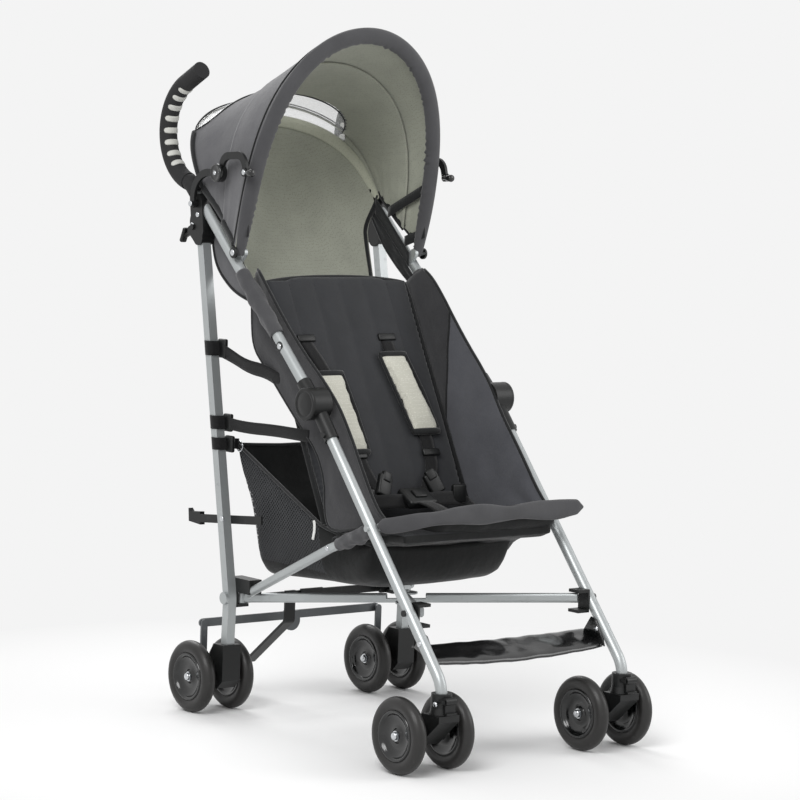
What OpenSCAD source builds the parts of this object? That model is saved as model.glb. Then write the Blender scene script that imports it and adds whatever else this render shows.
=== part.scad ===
// Umbrella stroller: two tubular side frames joined by a scissor X, twin wheels, sling seat and canopy.
// Millimetres, +Z up, the child faces -Y, +X is the child's left. The origin is on the floor, mid box.

/* [Side frames] */
// Distance between the middle planes of the two side frames
track = 372; // [350:1:390]
// Diameter of the front legs and handle tubes
front_tube_d = 18; // [17:0.5:19]
// Width of the square rear legs
rear_leg_w = 16; // [14:0.5:18]
// Diameter of the seat tubes
seat_tube_d = 15; // [13:0.5:16]
// Height of the elbow knuckles above the floor
elbow_z = 538; // [520:1:550]
// Fore and aft place of the elbow knuckles
elbow_y = 15; // [5:1:25]
// Height of the corner where a front leg turns down to its caster
foot_corner_z = 140; // [134:1:150]
// Radius of that turn
foot_bend_r = 52; // [45:1:58]
// Height of the seat tube's joint on the front leg
seat_joint_z = 357; // [345:1:370]
// Fore and aft place of the bend in the seat tube
seat_bend_y = -14; // [-30:1:0]
// Height of the bend in the seat tube
seat_bend_z = 309; // [300:1:320]
// Radius of the bends in the seat tube and rear leg
tube_bend_r = 80; // [60:1:90]
// Fore and aft place of the rear leg's top
rear_top_y = 341; // [330:1:350]
// Height of the rear leg's top
rear_top_z = 800; // [790:1:806]
// How far ahead of the rear axle the rear leg turns upright
rear_leg_ahead = 48; // [44:1:52]
// Height of that turn
rear_low_z = 196; // [190:1:205]

/* [Handles] */
// Length of the handle tube from the rear leg's top to the bend before the grip
grip_run = 40.83; // [38:0.01:44]
// Straight between that bend and the grip's own
grip_lead = 8.22; // [8:0.01:10]
// Bend radius of the grip
grip_bend_r = 88; // [80:1:96]
// Diameter of the foam grip
grip_d = 30; // [27:0.5:34]
// Direction of the handle where the grip starts, from level
grip_start_angle = 15; // [5:1:20]
// Direction of the handle where the grip ends, from level
grip_end_angle = 154; // [145:1:160]
// Straight end of the grip past its bend
grip_tail = 44; // [35:1:55]

/* [Wheels] */
// Wheel diameter
wheel_d = 120; // [110:1:125]
// Tyre thickness
tyre_d = 24; // [20:1:26]
// Distance from the front axles to the rear axles
wheelbase = 564; // [550:1:580]
// Distance between the two wheels of a front pair
front_pair = 94; // [88:1:100]
// Distance between the two wheels of a rear pair
rear_pair = 78; // [76:1:84]
// How far a front axle trails its swivel
caster_trail = 41; // [36:1:44]
// Axle diameter
axle_d = 8; // [7:0.5:9]
// Height of the swivel plane
swivel_z = 96; // [94:1:100]
// Swivel stem diameter
stem_d = 12; // [10:0.5:13]

/* [Cross frame] */
// Height of the cross bars' rear ends
bar_rear_z = 194; // [190:1:198]
// Height of the cross bars' front ends
bar_front_z = 238; // [232:1:242]
// How far behind the rear leg's turn the rear pins lie
bar_behind = 1; // [-1:0.5:3]
// How far behind the front leg's middle line the front yokes lie
yoke_behind = 1.8; // [0:0.1:3]
// How far the bar ends lie inside the frame planes
bar_inset = 24; // [22:1:27]
// Height of a cross bar
bar_h = 16; // [14:0.5:17]
// Thickness of a cross bar
bar_t = 9; // [8:0.5:10]
// Height of the rear brace
brace_z = 187; // [185:1:188]
// How far behind the rear pins the rear brace lies
brace_behind = 27; // [26:0.5:29]
// Height of the brace and brake strips
strip_h = 14; // [12:0.5:15]
// Height of the brake bar
brake_z = 143; // [142:1:146]
// How far behind the rear axles the brake bar lies
brake_behind = 30; // [29:0.5:33]

/* [Canopy] */
// Height of the front bow's top
canopy_top_z = 1142; // [1120:1:1150]
// Fore and aft place of the front bow's top
canopy_top_y = 140; // [130:1:150]
// Distance from the elbows to the canopy's pivots along the handle
canopy_pivot_run = 315.58; // [310:0.01:320]
// Distance of the canopy's pivots from the handle's middle line
canopy_pivot_lift = 19.95; // [18:0.01:22]
// Height of the rear bow's top over the rear leg's top
vent_rise = 224; // [212:1:235]
// How far behind the rear leg's top the rear bow's top lies
vent_back = 99; // [88:1:109]
// Cloth thickness of the canopy
canopy_t = 4; // [3:0.5:5]

/* [Seat] */
// Height of the seat's front edge
seat_front_z = 356; // [352:1:362]
// Fore and aft place of the seat's front edge
seat_front_y = -186; // [-195:1:-180]
// Height of the fold between seat and backrest
seat_rear_z = 326; // [322:1:330]
// Fore and aft place of that fold
seat_rear_y = 14; // [8:1:20]
// Thickness of the seat pad
seat_t = 22; // [16:1:26]
// Length of the backrest
back_len = 452; // [440:1:465]
// Lean of the backrest from upright
back_lean = 27; // [25:1:29]
// Thickness of the backrest pad
back_t = 16; // [12:1:20]
// Width of the backrest
back_w = 312; // [300:1:320]
// Channels sewn in the backrest
back_channels = 6; // [4:1:8]
// Width of the shopping basket
basket_w = 296; // [280:1:304]
// Height of the basket's floor
basket_floor_z = 236; // [234:1:240]

/* [Hidden] */
$fn = 48;
left = 1;
right = -1;
// Clearances and small sizes that several pieces share
fit = 0.05;
gap = 0.4;
soft_gap = 0.3;
overrun = 2;
lap = 0.5;
lap_step = 0.2;
pin_r = 3;
rivet_r = 5;
rivet_t = 3;
wall = 3;
strip_t = 4;
elbow_r = 26;
cloth_clear = 1;
foot_z_low = 70;
foot_step = 4;
pass_back = 8;
pass_rise = 50;
seat_end_ahead = 30;
seat_end_rise = 10;

half = track / 2;
tube_r = front_tube_d / 2;
seat_tube_r = seat_tube_d / 2;
leg_half = rear_leg_w / 2;
wheel_r = wheel_d / 2;
tyre_r = tyre_d / 2;
axle_r = axle_d / 2;
stem_r = stem_d / 2;
front_axle_y = -wheelbase / 2;
rear_axle_y = wheelbase / 2;
foot_y = front_axle_y - caster_trail;
rear_low_y = rear_axle_y - rear_leg_ahead;
bar_rear_y = rear_low_y + bar_behind;
brace_y = bar_rear_y + brace_behind;
brake_y = rear_axle_y + brake_behind;

function unit(v) = v / norm(v);
function heading(angle) = [cos(angle), sin(angle)];
function angle_of(v) = atan2(v.y, v.x);
function turn(u, v) = atan2(u.x * v.y - u.y * v.x, u * v);
function meet(p, u, q, v) = p + u * ((q - p).x * v.y - (q - p).y * v.x) / (u.x * v.y - u.y * v.x);

// Front leg and handle tube in the side plane, as [fore and aft, height]
elbow_at = [elbow_y, elbow_z];
foot_corner = [foot_y, foot_corner_z];
leg_dir = unit(elbow_at - foot_corner);
function leg_at(z) = foot_corner + leg_dir * (z - foot_corner_z) / leg_dir.y;
seat_joint = leg_at(seat_joint_z);
bar_front_y = leg_at(bar_front_z).x + yoke_behind;
rear_top = [rear_top_y, rear_top_z];
rear_low = [rear_low_y, rear_low_z];
function rear_leg_at(z) = rear_low + (rear_top - rear_low) * (z - rear_low_z) / (rear_top_z - rear_low_z);
// The handle tube passes just over the rear leg's top
tube_pass = rear_top + [pass_back, pass_rise];
handle_dir = unit(tube_pass - elbow_at);
handle_up = [-handle_dir.y, handle_dir.x];
handle_corner = tube_pass + handle_dir * grip_run;
handle_bend_r = 22;
grip_start = handle_corner + heading(grip_start_angle) * grip_lead;
grip_centre = grip_start - grip_bend_r * heading(grip_start_angle - 90);
grip_turned = grip_centre + grip_bend_r * heading(grip_end_angle - 90);
grip_corner = meet(grip_start, heading(grip_start_angle), grip_turned, heading(grip_end_angle));
grip_end = grip_turned + grip_tail * heading(grip_end_angle);
grip_back_y = grip_centre.x + grip_bend_r;
handle_path = [elbow_at, handle_corner, grip_corner, grip_end];
handle_radii = [handle_bend_r, grip_bend_r];
rear_foot = [rear_low_y + foot_step, foot_z_low];
rear_path = [rear_top, rear_low, rear_foot];
seat_bend = [seat_bend_y, seat_bend_z];
seat_end = rear_low + [-seat_end_ahead, seat_end_rise];
seat_tube_inset = tube_r + seat_tube_r;
seat_path = [seat_joint, seat_bend, seat_end];

// Moves a piece from the wheelbase's middle to the part's origin
module placed() {
    translate([0, -mid_y, 0])
        children();
}

// Draws a piece made for the left side on either side
module on_side(side) {
    placed()
        if (side > 0)
            children();
        else
            mirror([1, 0, 0])
                children();
}

// A profile carried along a path in the side plane, with rounded corners. The straights run a
// little into the bends, which are a hair thicker, so that the lengths join.
module swept(path, radii = []) {
    last = len(path) - 1;
    dirs = [for (i = [0:last - 1]) unit(path[i + 1] - path[i])];
    trims = [for (i = [0:last]) i == 0 || i == last ? 0 : radii[i - 1] * tan(abs(turn(dirs[i - 1], dirs[i])) / 2)];
    rotate([90, 0, 90]) {
        for (i = [0:last - 1]) {
            $grow = 0;
            from = path[i] + dirs[i] * (trims[i] - (i == 0 ? 0 : lap));
            to = path[i + 1] - dirs[i] * (trims[i + 1] - (i == last - 1 ? 0 : lap));
            if (norm(to - from) > 2 * lap + fit)
                translate(from)
                    rotate(angle_of(dirs[i]))
                        rotate([90, 0, 90])
                            linear_extrude(norm(to - from))
                                children();
        }
        for (i = [1:1:last - 1]) {
            $grow = lap_step;
            swing = turn(dirs[i - 1], dirs[i]);
            outward = [dirs[i - 1].y, -dirs[i - 1].x] * sign(swing);
            translate(path[i] - dirs[i - 1] * trims[i] - outward * radii[i - 1])
                rotate(angle_of(outward) + min(0, swing))
                    rotate_extrude(angle = abs(swing))
                        translate([radii[i - 1], 0])
                            children();
        }
    }
}

// Profiles for the paths above
module tube_profile(d) {
    circle(d = d + $grow);
}

module strip_profile(w, t) {
    square([w + $grow, t + $grow], center = true);
}

// A plate drawn as an outline in the side plane, between two places across the stroller
module side_plate(x_from, x_to, outline) {
    translate([x_from, 0, 0])
        rotate([90, 0, 90])
            linear_extrude(x_to - x_from)
                polygon(outline);
}

// A round bar across the stroller at a side plane point
module cross_rod(at, x_from, x_to, r) {
    translate([x_from, at.x, at.y])
        rotate([0, 90, 0])
            cylinder(r = r, h = x_to - x_from);
}

// A round bar fore and aft
module long_rod(x, z, y_from, y_to, r) {
    translate([x, y_to, z])
        rotate([90, 0, 0])
            cylinder(r = r, h = y_to - y_from);
}

// An outline round two places, as wide as the given diameters
module link_outline(from, to, from_d, to_d) {
    along = unit(to - from);
    across = [-along.y, along.x] / 2;
    translate(from)
        circle(d = from_d);
    translate(to)
        circle(d = to_d);
    polygon([from + across * from_d, to + across * to_d, to - across * to_d, from - across * from_d]);
}

// Wheels and their carriers
tyre_wall = 21;
hub_r = wheel_r - tyre_wall;
hub_bore_r = axle_r + fit;
hub_boss_r = 9;
hub_web = 5;
hub_rim = 4;
hub_half = 10;
front_fork_half = 20;
rear_fork_half = 18;
nut_r = 8;
nut_t = 4;

// One wheel on its own axle line: a moulded hub and the tyre bonded round it
module wheel(side, front, outer) {
    pair = front ? front_pair : rear_pair;
    fork_half = front ? front_fork_half : rear_fork_half;
    boss = pair / 2 - fork_half - gap;
    rim_in = hub_r - hub_rim;
    color("#1c1c1d")
        on_side(side)
            translate([half + outer * pair / 2, front ? front_axle_y : rear_axle_y, wheel_r])
                rotate([0, outer * 90, 0]) {
                    rotate_extrude()
                        polygon([
                            [hub_bore_r, -boss], [hub_boss_r, -boss], [hub_boss_r, -hub_web], [rim_in, -hub_web],
                            [rim_in, -hub_half], [hub_r, -hub_half], [hub_r, hub_half], [rim_in, hub_half],
                            [rim_in - hub_rim, hub_web / 2], [hub_boss_r, hub_web / 2], [hub_boss_r, hub_web],
                            [hub_bore_r, hub_web]
                        ]);
                    rotate_extrude()
                        difference() {
                            translate([wheel_r - tyre_r, 0])
                                circle(r = tyre_r);
                            translate([0, -tyre_d])
                                square([hub_r, 2 * tyre_d]);
                        }
                }
}

// An axle through a fork, with a washer and a domed nut outside each wheel
module axle(side, front) {
    pair = front ? front_pair : rear_pair;
    reach = pair / 2 + hub_web + gap;
    at = [front ? front_axle_y : rear_axle_y, wheel_r];
    color("silver")
        on_side(side) {
            cross_rod(at, half - reach, half + reach, axle_r);
            for (end = [-1, 1])
                translate([half + end * reach, at.x, at.y])
                    rotate([0, end * 90, 0]) {
                        cylinder(r = nut_r, h = nut_t / 2);
                        cylinder(r1 = nut_r - wall / 2, r2 = axle_r, h = nut_t);
                    }
        }
}

// Front caster: socket on the leg, swivelling fork, lock lever
socket_r = 16;
socket_top = 128;
fork_toe = 20;
fork_low = 44;
fork_heel = 14;
skirt_r = 18;
skirt_h = 10;
lock_w = 20;
lock_len = 20;
lock_t = 3;
lock_lip = 4;
lock_rise = 22;
lock_at = [foot_y - socket_r - lock_t, swivel_z + lock_rise];
stem_len = 20;
foot_z = swivel_z + stem_len;
leg_path = [[foot_y, foot_z], foot_corner, elbow_at - leg_dir * elbow_r];
lock_front = lock_at.x - lock_t - lock_lip;
// The box is centred fore and aft between the swivel locks and the grips
mid_y = (min(lock_front, front_axle_y - wheel_r) + grip_back_y + grip_d / 2) / 2;

module leg_socket(side) {
    lug_x = lock_w / 2 + gap;
    color("#1a1a1a")
        on_side(side) {
            difference() {
                union() {
                    translate([half, foot_y, swivel_z + gap])
                        cylinder(r1 = skirt_r, r2 = socket_r, h = skirt_h);
                    translate([half, foot_y, swivel_z + skirt_h])
                        cylinder(r = socket_r, h = socket_top - swivel_z - skirt_h);
                    for (lug_from = [-lug_x - lock_t, lug_x])
                        translate([half + lug_from, lock_at.x - pin_r, lock_at.y - pin_r])
                            cube([lock_t, socket_r + lock_t + pin_r, 2 * pin_r]);
                }
                translate([half, 0, 0])
                    swept(leg_path, [foot_bend_r])
                        tube_profile(front_tube_d);
                translate([half, foot_y, 0])
                    cylinder(r = stem_r + fit, h = foot_z - wall);
                cross_rod(lock_at, half - lug_x, half + lug_x, pin_r + wall + gap);
            }
            cross_rod(lock_at, half - lug_x - lock_t, half + lug_x + lock_t, pin_r);
        }
}

module caster_fork(side) {
    heel = front_axle_y + fork_heel;
    color("#1a1a1a")
        on_side(side)
            difference() {
                union() {
                    side_plate(half - front_fork_half, half + front_fork_half, [
                        [foot_y - fork_toe, swivel_z - skirt_h], [foot_y - fork_toe, swivel_z], [foot_y + fork_toe, swivel_z],
                        [heel, wheel_r + fork_heel], [heel, fork_low], [front_axle_y - fork_heel, fork_low]
                    ]);
                    translate([half, foot_y, swivel_z - skirt_h])
                        cylinder(r = skirt_r, h = skirt_h);
                    translate([half, foot_y, swivel_z - skirt_h])
                        cylinder(r = stem_r, h = foot_z - wall - gap - swivel_z + skirt_h);
                }
                cross_rod([front_axle_y, wheel_r], half - front_fork_half - overrun, half + front_fork_half + overrun, axle_r);
            }
}

module swivel_lock(side) {
    color("#2a2a2b")
        on_side(side)
            difference() {
                union() {
                    translate([half - lock_w / 2, lock_at.x - lock_t, lock_at.y - lock_len])
                        cube([lock_w, lock_t, lock_len]);
                    translate([half - lock_w / 2, lock_at.x - lock_t - lock_lip, lock_at.y - lock_len])
                        cube([lock_w, lock_lip + lock_t, lock_t]);
                    cross_rod(lock_at, half - lock_w / 2, half + lock_w / 2, pin_r + wall);
                }
                cross_rod(lock_at, half - lock_w, half + lock_w, pin_r + fit);
            }
}

// Rear wheel housing round the foot of the rear leg, with the guide for the brake link
link_w = 12;
link_t = 4;
link_y = brake_y - strip_t - gap - link_t / 2;
link_low = 58;
brake_travel = 10;
housing_top = 118;
housing_low = 44;
housing_toe = 14;

module rear_fork(side) {
    toe = rear_foot.x - housing_toe;
    tail = link_y + link_t / 2 + wall;
    color("#1a1a1a")
        on_side(side)
            difference() {
                side_plate(half - rear_fork_half, half + rear_fork_half, [
                    [toe, housing_low + housing_toe], [toe, housing_top], [rear_foot.x + housing_toe, housing_top],
                    [rear_axle_y - housing_toe, wheel_r + hub_r - hub_boss_r], [tail, wheel_r + 2 * hub_boss_r],
                    [tail, housing_low + wall], [rear_axle_y, housing_low], [toe + housing_toe, housing_low]
                ]);
                translate([half, 0, 0])
                    swept(rear_path, [tube_bend_r])
                        strip_profile(rear_leg_w, rear_leg_w);
                cross_rod([rear_axle_y, wheel_r], half - rear_fork_half - overrun, half + rear_fork_half + overrun, axle_r);
                translate([half, link_y, wheel_r])
                    cube([link_w + 2 * gap, link_t + 2 * gap, wheel_d], center = true);
            }
}

// Tubes of the side frames
socket_above = 46;
socket_below = 70;
elbow_in = 14;
elbow_out = 22;
elbow_socket_r = tube_r + wall;
tab_r = 8;
tab_t = 6;
pivot_pin = 8;
tab_root = elbow_at + handle_dir * canopy_pivot_run;
canopy_pivot = tab_root + handle_up * canopy_pivot_lift;

module front_leg(side) {
    color("silver")
        on_side(side) {
            translate([half, 0, 0])
                swept(leg_path, [foot_bend_r])
                    tube_profile(front_tube_d);
            cross_rod(seat_joint, half, half + tube_r + rivet_t, rivet_r);
        }
}

module handle_tube(side) {
    color("silver")
        on_side(side) {
            translate([half, 0, 0])
                swept([elbow_at + handle_dir * elbow_r, handle_corner, grip_corner, grip_end], handle_radii)
                    tube_profile(front_tube_d);
            translate([half - tube_r, 0, 0])
                rotate([90, 0, 90])
                    linear_extrude(tab_t)
                        link_outline(tab_root, canopy_pivot, 2 * tab_r, 2 * tab_r);
            cross_rod(canopy_pivot, half - tube_r, half + tube_r + pivot_pin, pin_r);
        }
}

// Foam grip over the bent end of the handle, with its collar and end cap
collar_r = 14;
collar_len = 14;
cap_t = 6;
lug_r = 5;

module grip(side) {
    collar_at = handle_corner - handle_dir * (handle_bend_r + collar_len) * tan((angle_of(handle_dir) - grip_start_angle) / 2);
    color("#1b1b1c")
        on_side(side)
            difference() {
                translate([half, 0, 0]) {
                    swept([
                        grip_start - heading(grip_start_angle) * lap, grip_corner, grip_end + heading(grip_end_angle) * cap_t
                    ], [grip_bend_r])
                        tube_profile(grip_d);
                    swept([collar_at - handle_dir * collar_len, handle_corner, grip_start], [handle_bend_r])
                        tube_profile(2 * collar_r);
                    cross_rod(collar_at - handle_dir * collar_r + handle_up * (collar_r - lug_r / 2), -collar_r, collar_r, lug_r);
                }
                translate([half, 0, 0])
                    swept(handle_path, handle_radii)
                        tube_profile(front_tube_d);
            }
}

module elbow(side) {
    color("#1c1c1c")
        on_side(side)
            difference() {
                union() {
                    translate([half, 0, 0]) {
                        swept([elbow_at - leg_dir * socket_below, elbow_at])
                            tube_profile(2 * elbow_socket_r);
                        swept([elbow_at, elbow_at + handle_dir * socket_above])
                            tube_profile(2 * elbow_socket_r);
                    }
                    cross_rod(elbow_at, half - elbow_in, half + elbow_out, elbow_r);
                    cross_rod(elbow_at - leg_dir * (socket_below - 2 * rivet_r), half, half + elbow_socket_r + rivet_t, rivet_r);
                }
                translate([half, 0, 0]) {
                    swept([elbow_at - leg_dir * (socket_below + overrun), elbow_at - leg_dir * elbow_r])
                        tube_profile(front_tube_d);
                    swept([elbow_at + handle_dir * elbow_r, elbow_at + handle_dir * (socket_above + overrun)])
                        tube_profile(front_tube_d);
                }
            }
}

// Bracket that joins the handle tube to the rear leg's top
bracket_half = 12;
bracket_r = 13;
bracket_top_r = 17;
bracket_fin = 22;
strut_ahead = 2;
strut_drop = 6;
strut_pivot = tube_pass - [strut_ahead, strut_drop];
strut_w = 12;
strut_t = 5;
strut_edge = 1;
strut_eye_r = strut_w / 2 + strut_edge;
strut_face = half + grip_d / 2 + gap;
rear_dir = unit(rear_low - rear_top);
bracket_pocket = 12;

module top_bracket(side) {
    color("#1a1a1a")
        on_side(side)
            difference() {
                union() {
                    translate([half - bracket_half, 0, 0])
                        rotate([90, 0, 90])
                            linear_extrude(2 * bracket_half) {
                                link_outline(strut_pivot, rear_top, 2 * bracket_top_r, 2 * bracket_top_r);
                                link_outline(rear_top + [bracket_fin, 0], rear_top + rear_dir * bracket_pocket, bracket_r, 2 * bracket_r);
                            }
                    cross_rod(strut_pivot, half, strut_face - gap, strut_w / 2);
                    cross_rod(strut_pivot, half, strut_face + strut_t + rivet_t, pin_r);
                    cross_rod(rear_top + [bracket_r, rivet_r], half, half + bracket_half + rivet_t, rivet_r);
                }
                translate([half, 0, 0]) {
                    swept(handle_path, handle_radii)
                        tube_profile(front_tube_d);
                    swept([rear_top, rear_low, rear_foot], [tube_bend_r])
                        strip_profile(rear_leg_w, rear_leg_w);
                }
            }
}

// Rear leg; the right one also carries the pin of the transport hook
hook_z = 326;
hook_ahead = 5;
hook_at = rear_leg_at(hook_z) - [hook_ahead, 0];
hook_pin_len = 6;
bolt_r = 10;

module rear_leg(side) {
    color("silver")
        on_side(side) {
            translate([half, 0, 0])
                swept(rear_path, [tube_bend_r])
                    strip_profile(rear_leg_w, rear_leg_w);
            cross_rod(rear_low, half + leg_half, half + leg_half + 2 * rivet_t, bolt_r);
            if (side < 0)
                cross_rod(hook_at, half - leg_half - hook_pin_len, half, pin_r);
        }
}

module seat_tube(side) {
    color("silver")
        on_side(side) {
            translate([half - seat_tube_inset, 0, 0])
                swept(seat_path, [tube_bend_r])
                    tube_profile(seat_tube_d);
            cross_rod(seat_joint, half - seat_tube_inset, half - tube_r, rivet_r);
        }
}

// Rear joint block on the leg's inner face: pin for the cross bar, seat tube socket, brace pivot
pin_x = half - bar_inset;
bar_pin_gap = 0.6;
bar_rise = 3.6;
yoke_drop = 10;
yoke_top_gap = 1.2;
block_front = -44;
block_rear = 12;
plate_t = 5;
block_in = half - leg_half;
block_reach = bar_inset - leg_half + bar_t;
block_top = 24;
ear_t = 5;
brace_inset = 36;
brace_pin_x = half - brace_inset;

module rear_clevis(side) {
    low = bar_rear_z - bar_h / 2 - bar_pin_gap;
    high = bar_rear_z + bar_h / 2 + bar_rise;
    color("#161616")
        on_side(side)
            difference() {
                union() {
                    translate([block_in - block_reach, bar_rear_y - bar_t, low - plate_t])
                        cube([block_reach, bar_t + block_rear, plate_t]);
                    translate([block_in - wall, bar_rear_y - bar_t, low - plate_t])
                        cube([wall, bar_t + block_rear, high - low + 2 * plate_t]);
                    translate([pin_x, bar_rear_y, low - plate_t])
                        cylinder(r = pin_r, h = high - low + 2 * plate_t);
                    translate([block_in - block_reach, bar_rear_y + block_front, high])
                        cube([block_reach, block_rear - block_front, block_top]);
                    translate([brace_pin_x - strip_h / 2, bar_rear_y + block_rear, brace_z - strip_h / 2])
                        cube([block_in - brace_pin_x + strip_h / 2, ear_t, strip_h]);
                    long_rod(brace_pin_x, brace_z, bar_rear_y + block_rear, brace_y + strip_t + 2 * gap, pin_r);
                }
                translate([half - seat_tube_inset, 0, 0])
                    swept(seat_path, [tube_bend_r])
                        tube_profile(seat_tube_d);
                translate([half, 0, 0])
                    swept(rear_path, [tube_bend_r])
                        strip_profile(rear_leg_w, rear_leg_w);
            }
}

// Front yoke on the leg's inner side, which the cross bar's front end rests in
yoke_back = 3;
yoke_half = 12;

module front_yoke(side) {
    low = bar_front_z - bar_h / 2 - yoke_drop;
    high = bar_front_z + bar_h / 2 + yoke_top_gap;
    inner = half - tube_r;
    color("#161616")
        on_side(side) {
            for (level = [low - plate_t, high])
                translate([pin_x - bar_t, bar_front_y - yoke_half, level])
                    cube([inner - pin_x + bar_t, 2 * yoke_half, plate_t]);
            translate([inner - yoke_back, bar_front_y - yoke_half, low - plate_t])
                cube([yoke_back, 2 * yoke_half, high - low + 2 * plate_t]);
            cross_rod([bar_front_y, bar_front_z], half + tube_r, half + tube_r + rivet_t, rivet_r);
        }
}

// Cross bars, half lapped where they cross
lap_half = 34;
lap_gap = 0.8;
centre_plate_r = 18;
centre_plate_t = 2.5;
bar_span = [-2 * pin_x, bar_front_y - bar_rear_y, bar_front_z - bar_rear_z];
bar_len = norm(bar_span);
bar_yaw = atan2(bar_span.y, bar_span.x);
bar_pitch = asin(bar_span.z / bar_len);

module x_bar(side) {
    color("silver")
        on_side(side)
            translate([pin_x, bar_rear_y, bar_rear_z])
                difference() {
                    union() {
                        cylinder(d = bar_t + 2 * wall, h = bar_h, center = true);
                        rotate([0, 0, bar_yaw])
                            rotate([0, -bar_pitch, 0])
                                rotate([90, 0, 90])
                                    linear_extrude(bar_len) {
                                        square([bar_t, bar_h - bar_t], center = true);
                                        for (end = [-1, 1])
                                            translate([0, end * (bar_h - bar_t) / 2])
                                                circle(d = bar_t);
                                    }
                    }
                    cylinder(r = pin_r + fit, h = 2 * bar_h, center = true);
                    rotate([0, 0, bar_yaw])
                        rotate([0, -bar_pitch, 0])
                            translate([bar_len / 2, 0, 0]) {
                                translate([-lap_half, -bar_h, side > 0 ? -bar_h + lap_gap : -lap_gap])
                                    cube([2 * lap_half, 2 * bar_h, bar_h]);
                            }
                }
    x_pivot(side);
}

// Centre bolt in two ends, each with a round plate: above on the upper bar, below on the lower one
module x_pivot(side) {
    lift = bar_h / 2 - lap_gap / 2;
    color("silver")
        placed()
            translate([0, (bar_front_y + bar_rear_y) / 2, (bar_front_z + bar_rear_z) / 2])
                rotate([side > 0 ? 0 : 180, 0, 0])
                    translate([0, 0, lift]) {
                        cylinder(r = centre_plate_r, h = centre_plate_t);
                        cylinder(r = rivet_r, h = centre_plate_t + rivet_t);
                    }
}

// Folding rear brace: each half hangs on its own leg block and laps the other behind or ahead
brace_plate = 46;
brace_plate_h = 20;

module rear_brace(side) {
    face = brace_y + (side < 0 ? -strip_t : gap);
    reach = side < 0 ? brace_plate / 2 : strip_h;
    color("#191919")
        on_side(side)
            difference() {
                union() {
                    translate([-reach, face, brace_z - strip_h / 2])
                        cube([brace_pin_x + reach, strip_t, strip_h]);
                    long_rod(brace_pin_x, brace_z, face, face + strip_t, strip_h / 2);
                    if (side < 0)
                        translate([-brace_plate / 2, face - strip_t + gap, brace_z - brace_plate_h / 2])
                            cube([brace_plate, strip_t - gap, brace_plate_h]);
                }
                long_rod(brace_pin_x, brace_z, face - strip_t, face + 2 * strip_t, pin_r + fit);
            }
}

// Foot lever that lifts the brace to let the frame fold
lever_x = -46;
lever_w = 20;
lever_t = 5;
lever_top = [brace_y - strip_t - gap - lever_t / 2, brace_z - lever_t];
lever_drop = 38;
lever_knee = lever_top - [0, lever_drop];
lever_reach = 104;
lever_toe_z = 58;
lever_toe = [brace_y + lever_reach, lever_toe_z];
lever_pad = 26;
lever_bend_r = 8;

module foot_lever() {
    color("#151515")
        placed() {
            translate([lever_x, 0, 0])
                swept([lever_top + [0, strip_h], lever_knee, lever_toe, lever_toe + [lever_pad, 0]], [lever_bend_r, lever_bend_r])
                    strip_profile(lever_t, lever_w);
            long_rod(lever_x, brace_z, lever_top.x, brace_y - strip_t - fit, rivet_r);
        }
}

// Linked brake: a folding bar behind the rear legs, and a link down to each wheel housing
module brake_link(side) {
    color("#2b2b2d")
        on_side(side) {
            translate([half - link_w / 2, link_y - link_t / 2, link_low])
                cube([link_w, link_t, brake_z - link_low]);
            long_rod(half, brake_z, link_y - link_t / 2, link_y + link_t / 2, link_w / 2);
            long_rod(half, brake_z, link_y, brake_y + strip_t + gap, pin_r);
        }
}

brake_plate_r = 17;
brake_plate_drop = 10;

module brake_bar(side) {
    face = brake_y - (side < 0 ? strip_t : 0) + (side > 0 ? gap : 0);
    color("#3a3a3c")
        on_side(side)
            difference() {
                union() {
                    translate([-strip_h, face, brake_z - strip_h / 2])
                        cube([half + strip_h, strip_t, strip_h]);
                    long_rod(half, brake_z, face, face + strip_t, strip_h / 2);
                    if (side < 0)
                        long_rod(0, brake_z - brake_plate_drop, face, face + strip_t, brake_plate_r);
                }
                long_rod(half, brake_z, face - strip_t, face + 2 * strip_t, pin_r + fit);
            }
}

// Transport hook on the right rear leg: a steel strip with a moulded hook
hook_strip_t = 3;
hook_strip_h = 14;
hook_fore = 88;
hook_fore_rise = 6;
hook_aft = 86;
hook_aft_drop = 10;
hook_front = hook_at + [-hook_fore, hook_fore_rise];
hook_rear = hook_at + [hook_aft, -hook_aft_drop];
hook_cap_len = 34;
hook_cap_h = 22;
hook_cap_t = 9;

module transport_hook() {
    x_face = half - leg_half - gap - hook_strip_t;
    along = unit(hook_rear - hook_front);
    up = [-along.y, along.x];
    cap_end = hook_rear + along * hook_cap_len;
    color("#1b1b1b")
        on_side(right)
            difference() {
                union() {
                    translate([x_face + hook_strip_t / 2, 0, 0])
                        swept([hook_front, hook_rear])
                            strip_profile(hook_strip_h, hook_strip_t);
                    side_plate(x_face + hook_strip_t - hook_cap_t, x_face + hook_strip_t, [
                        hook_rear + up * hook_cap_h / 2, hook_rear - up * hook_cap_h / 2,
                        cap_end - up * hook_cap_h / 4, cap_end + up * hook_cap_h * 3 / 4,
                        cap_end + up * hook_cap_h / 2 - along * hook_cap_h / 4
                    ]);
                }
                cross_rod(hook_at, x_face - overrun, x_face + hook_strip_t + overrun, pin_r + fit);
            }
}

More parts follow.
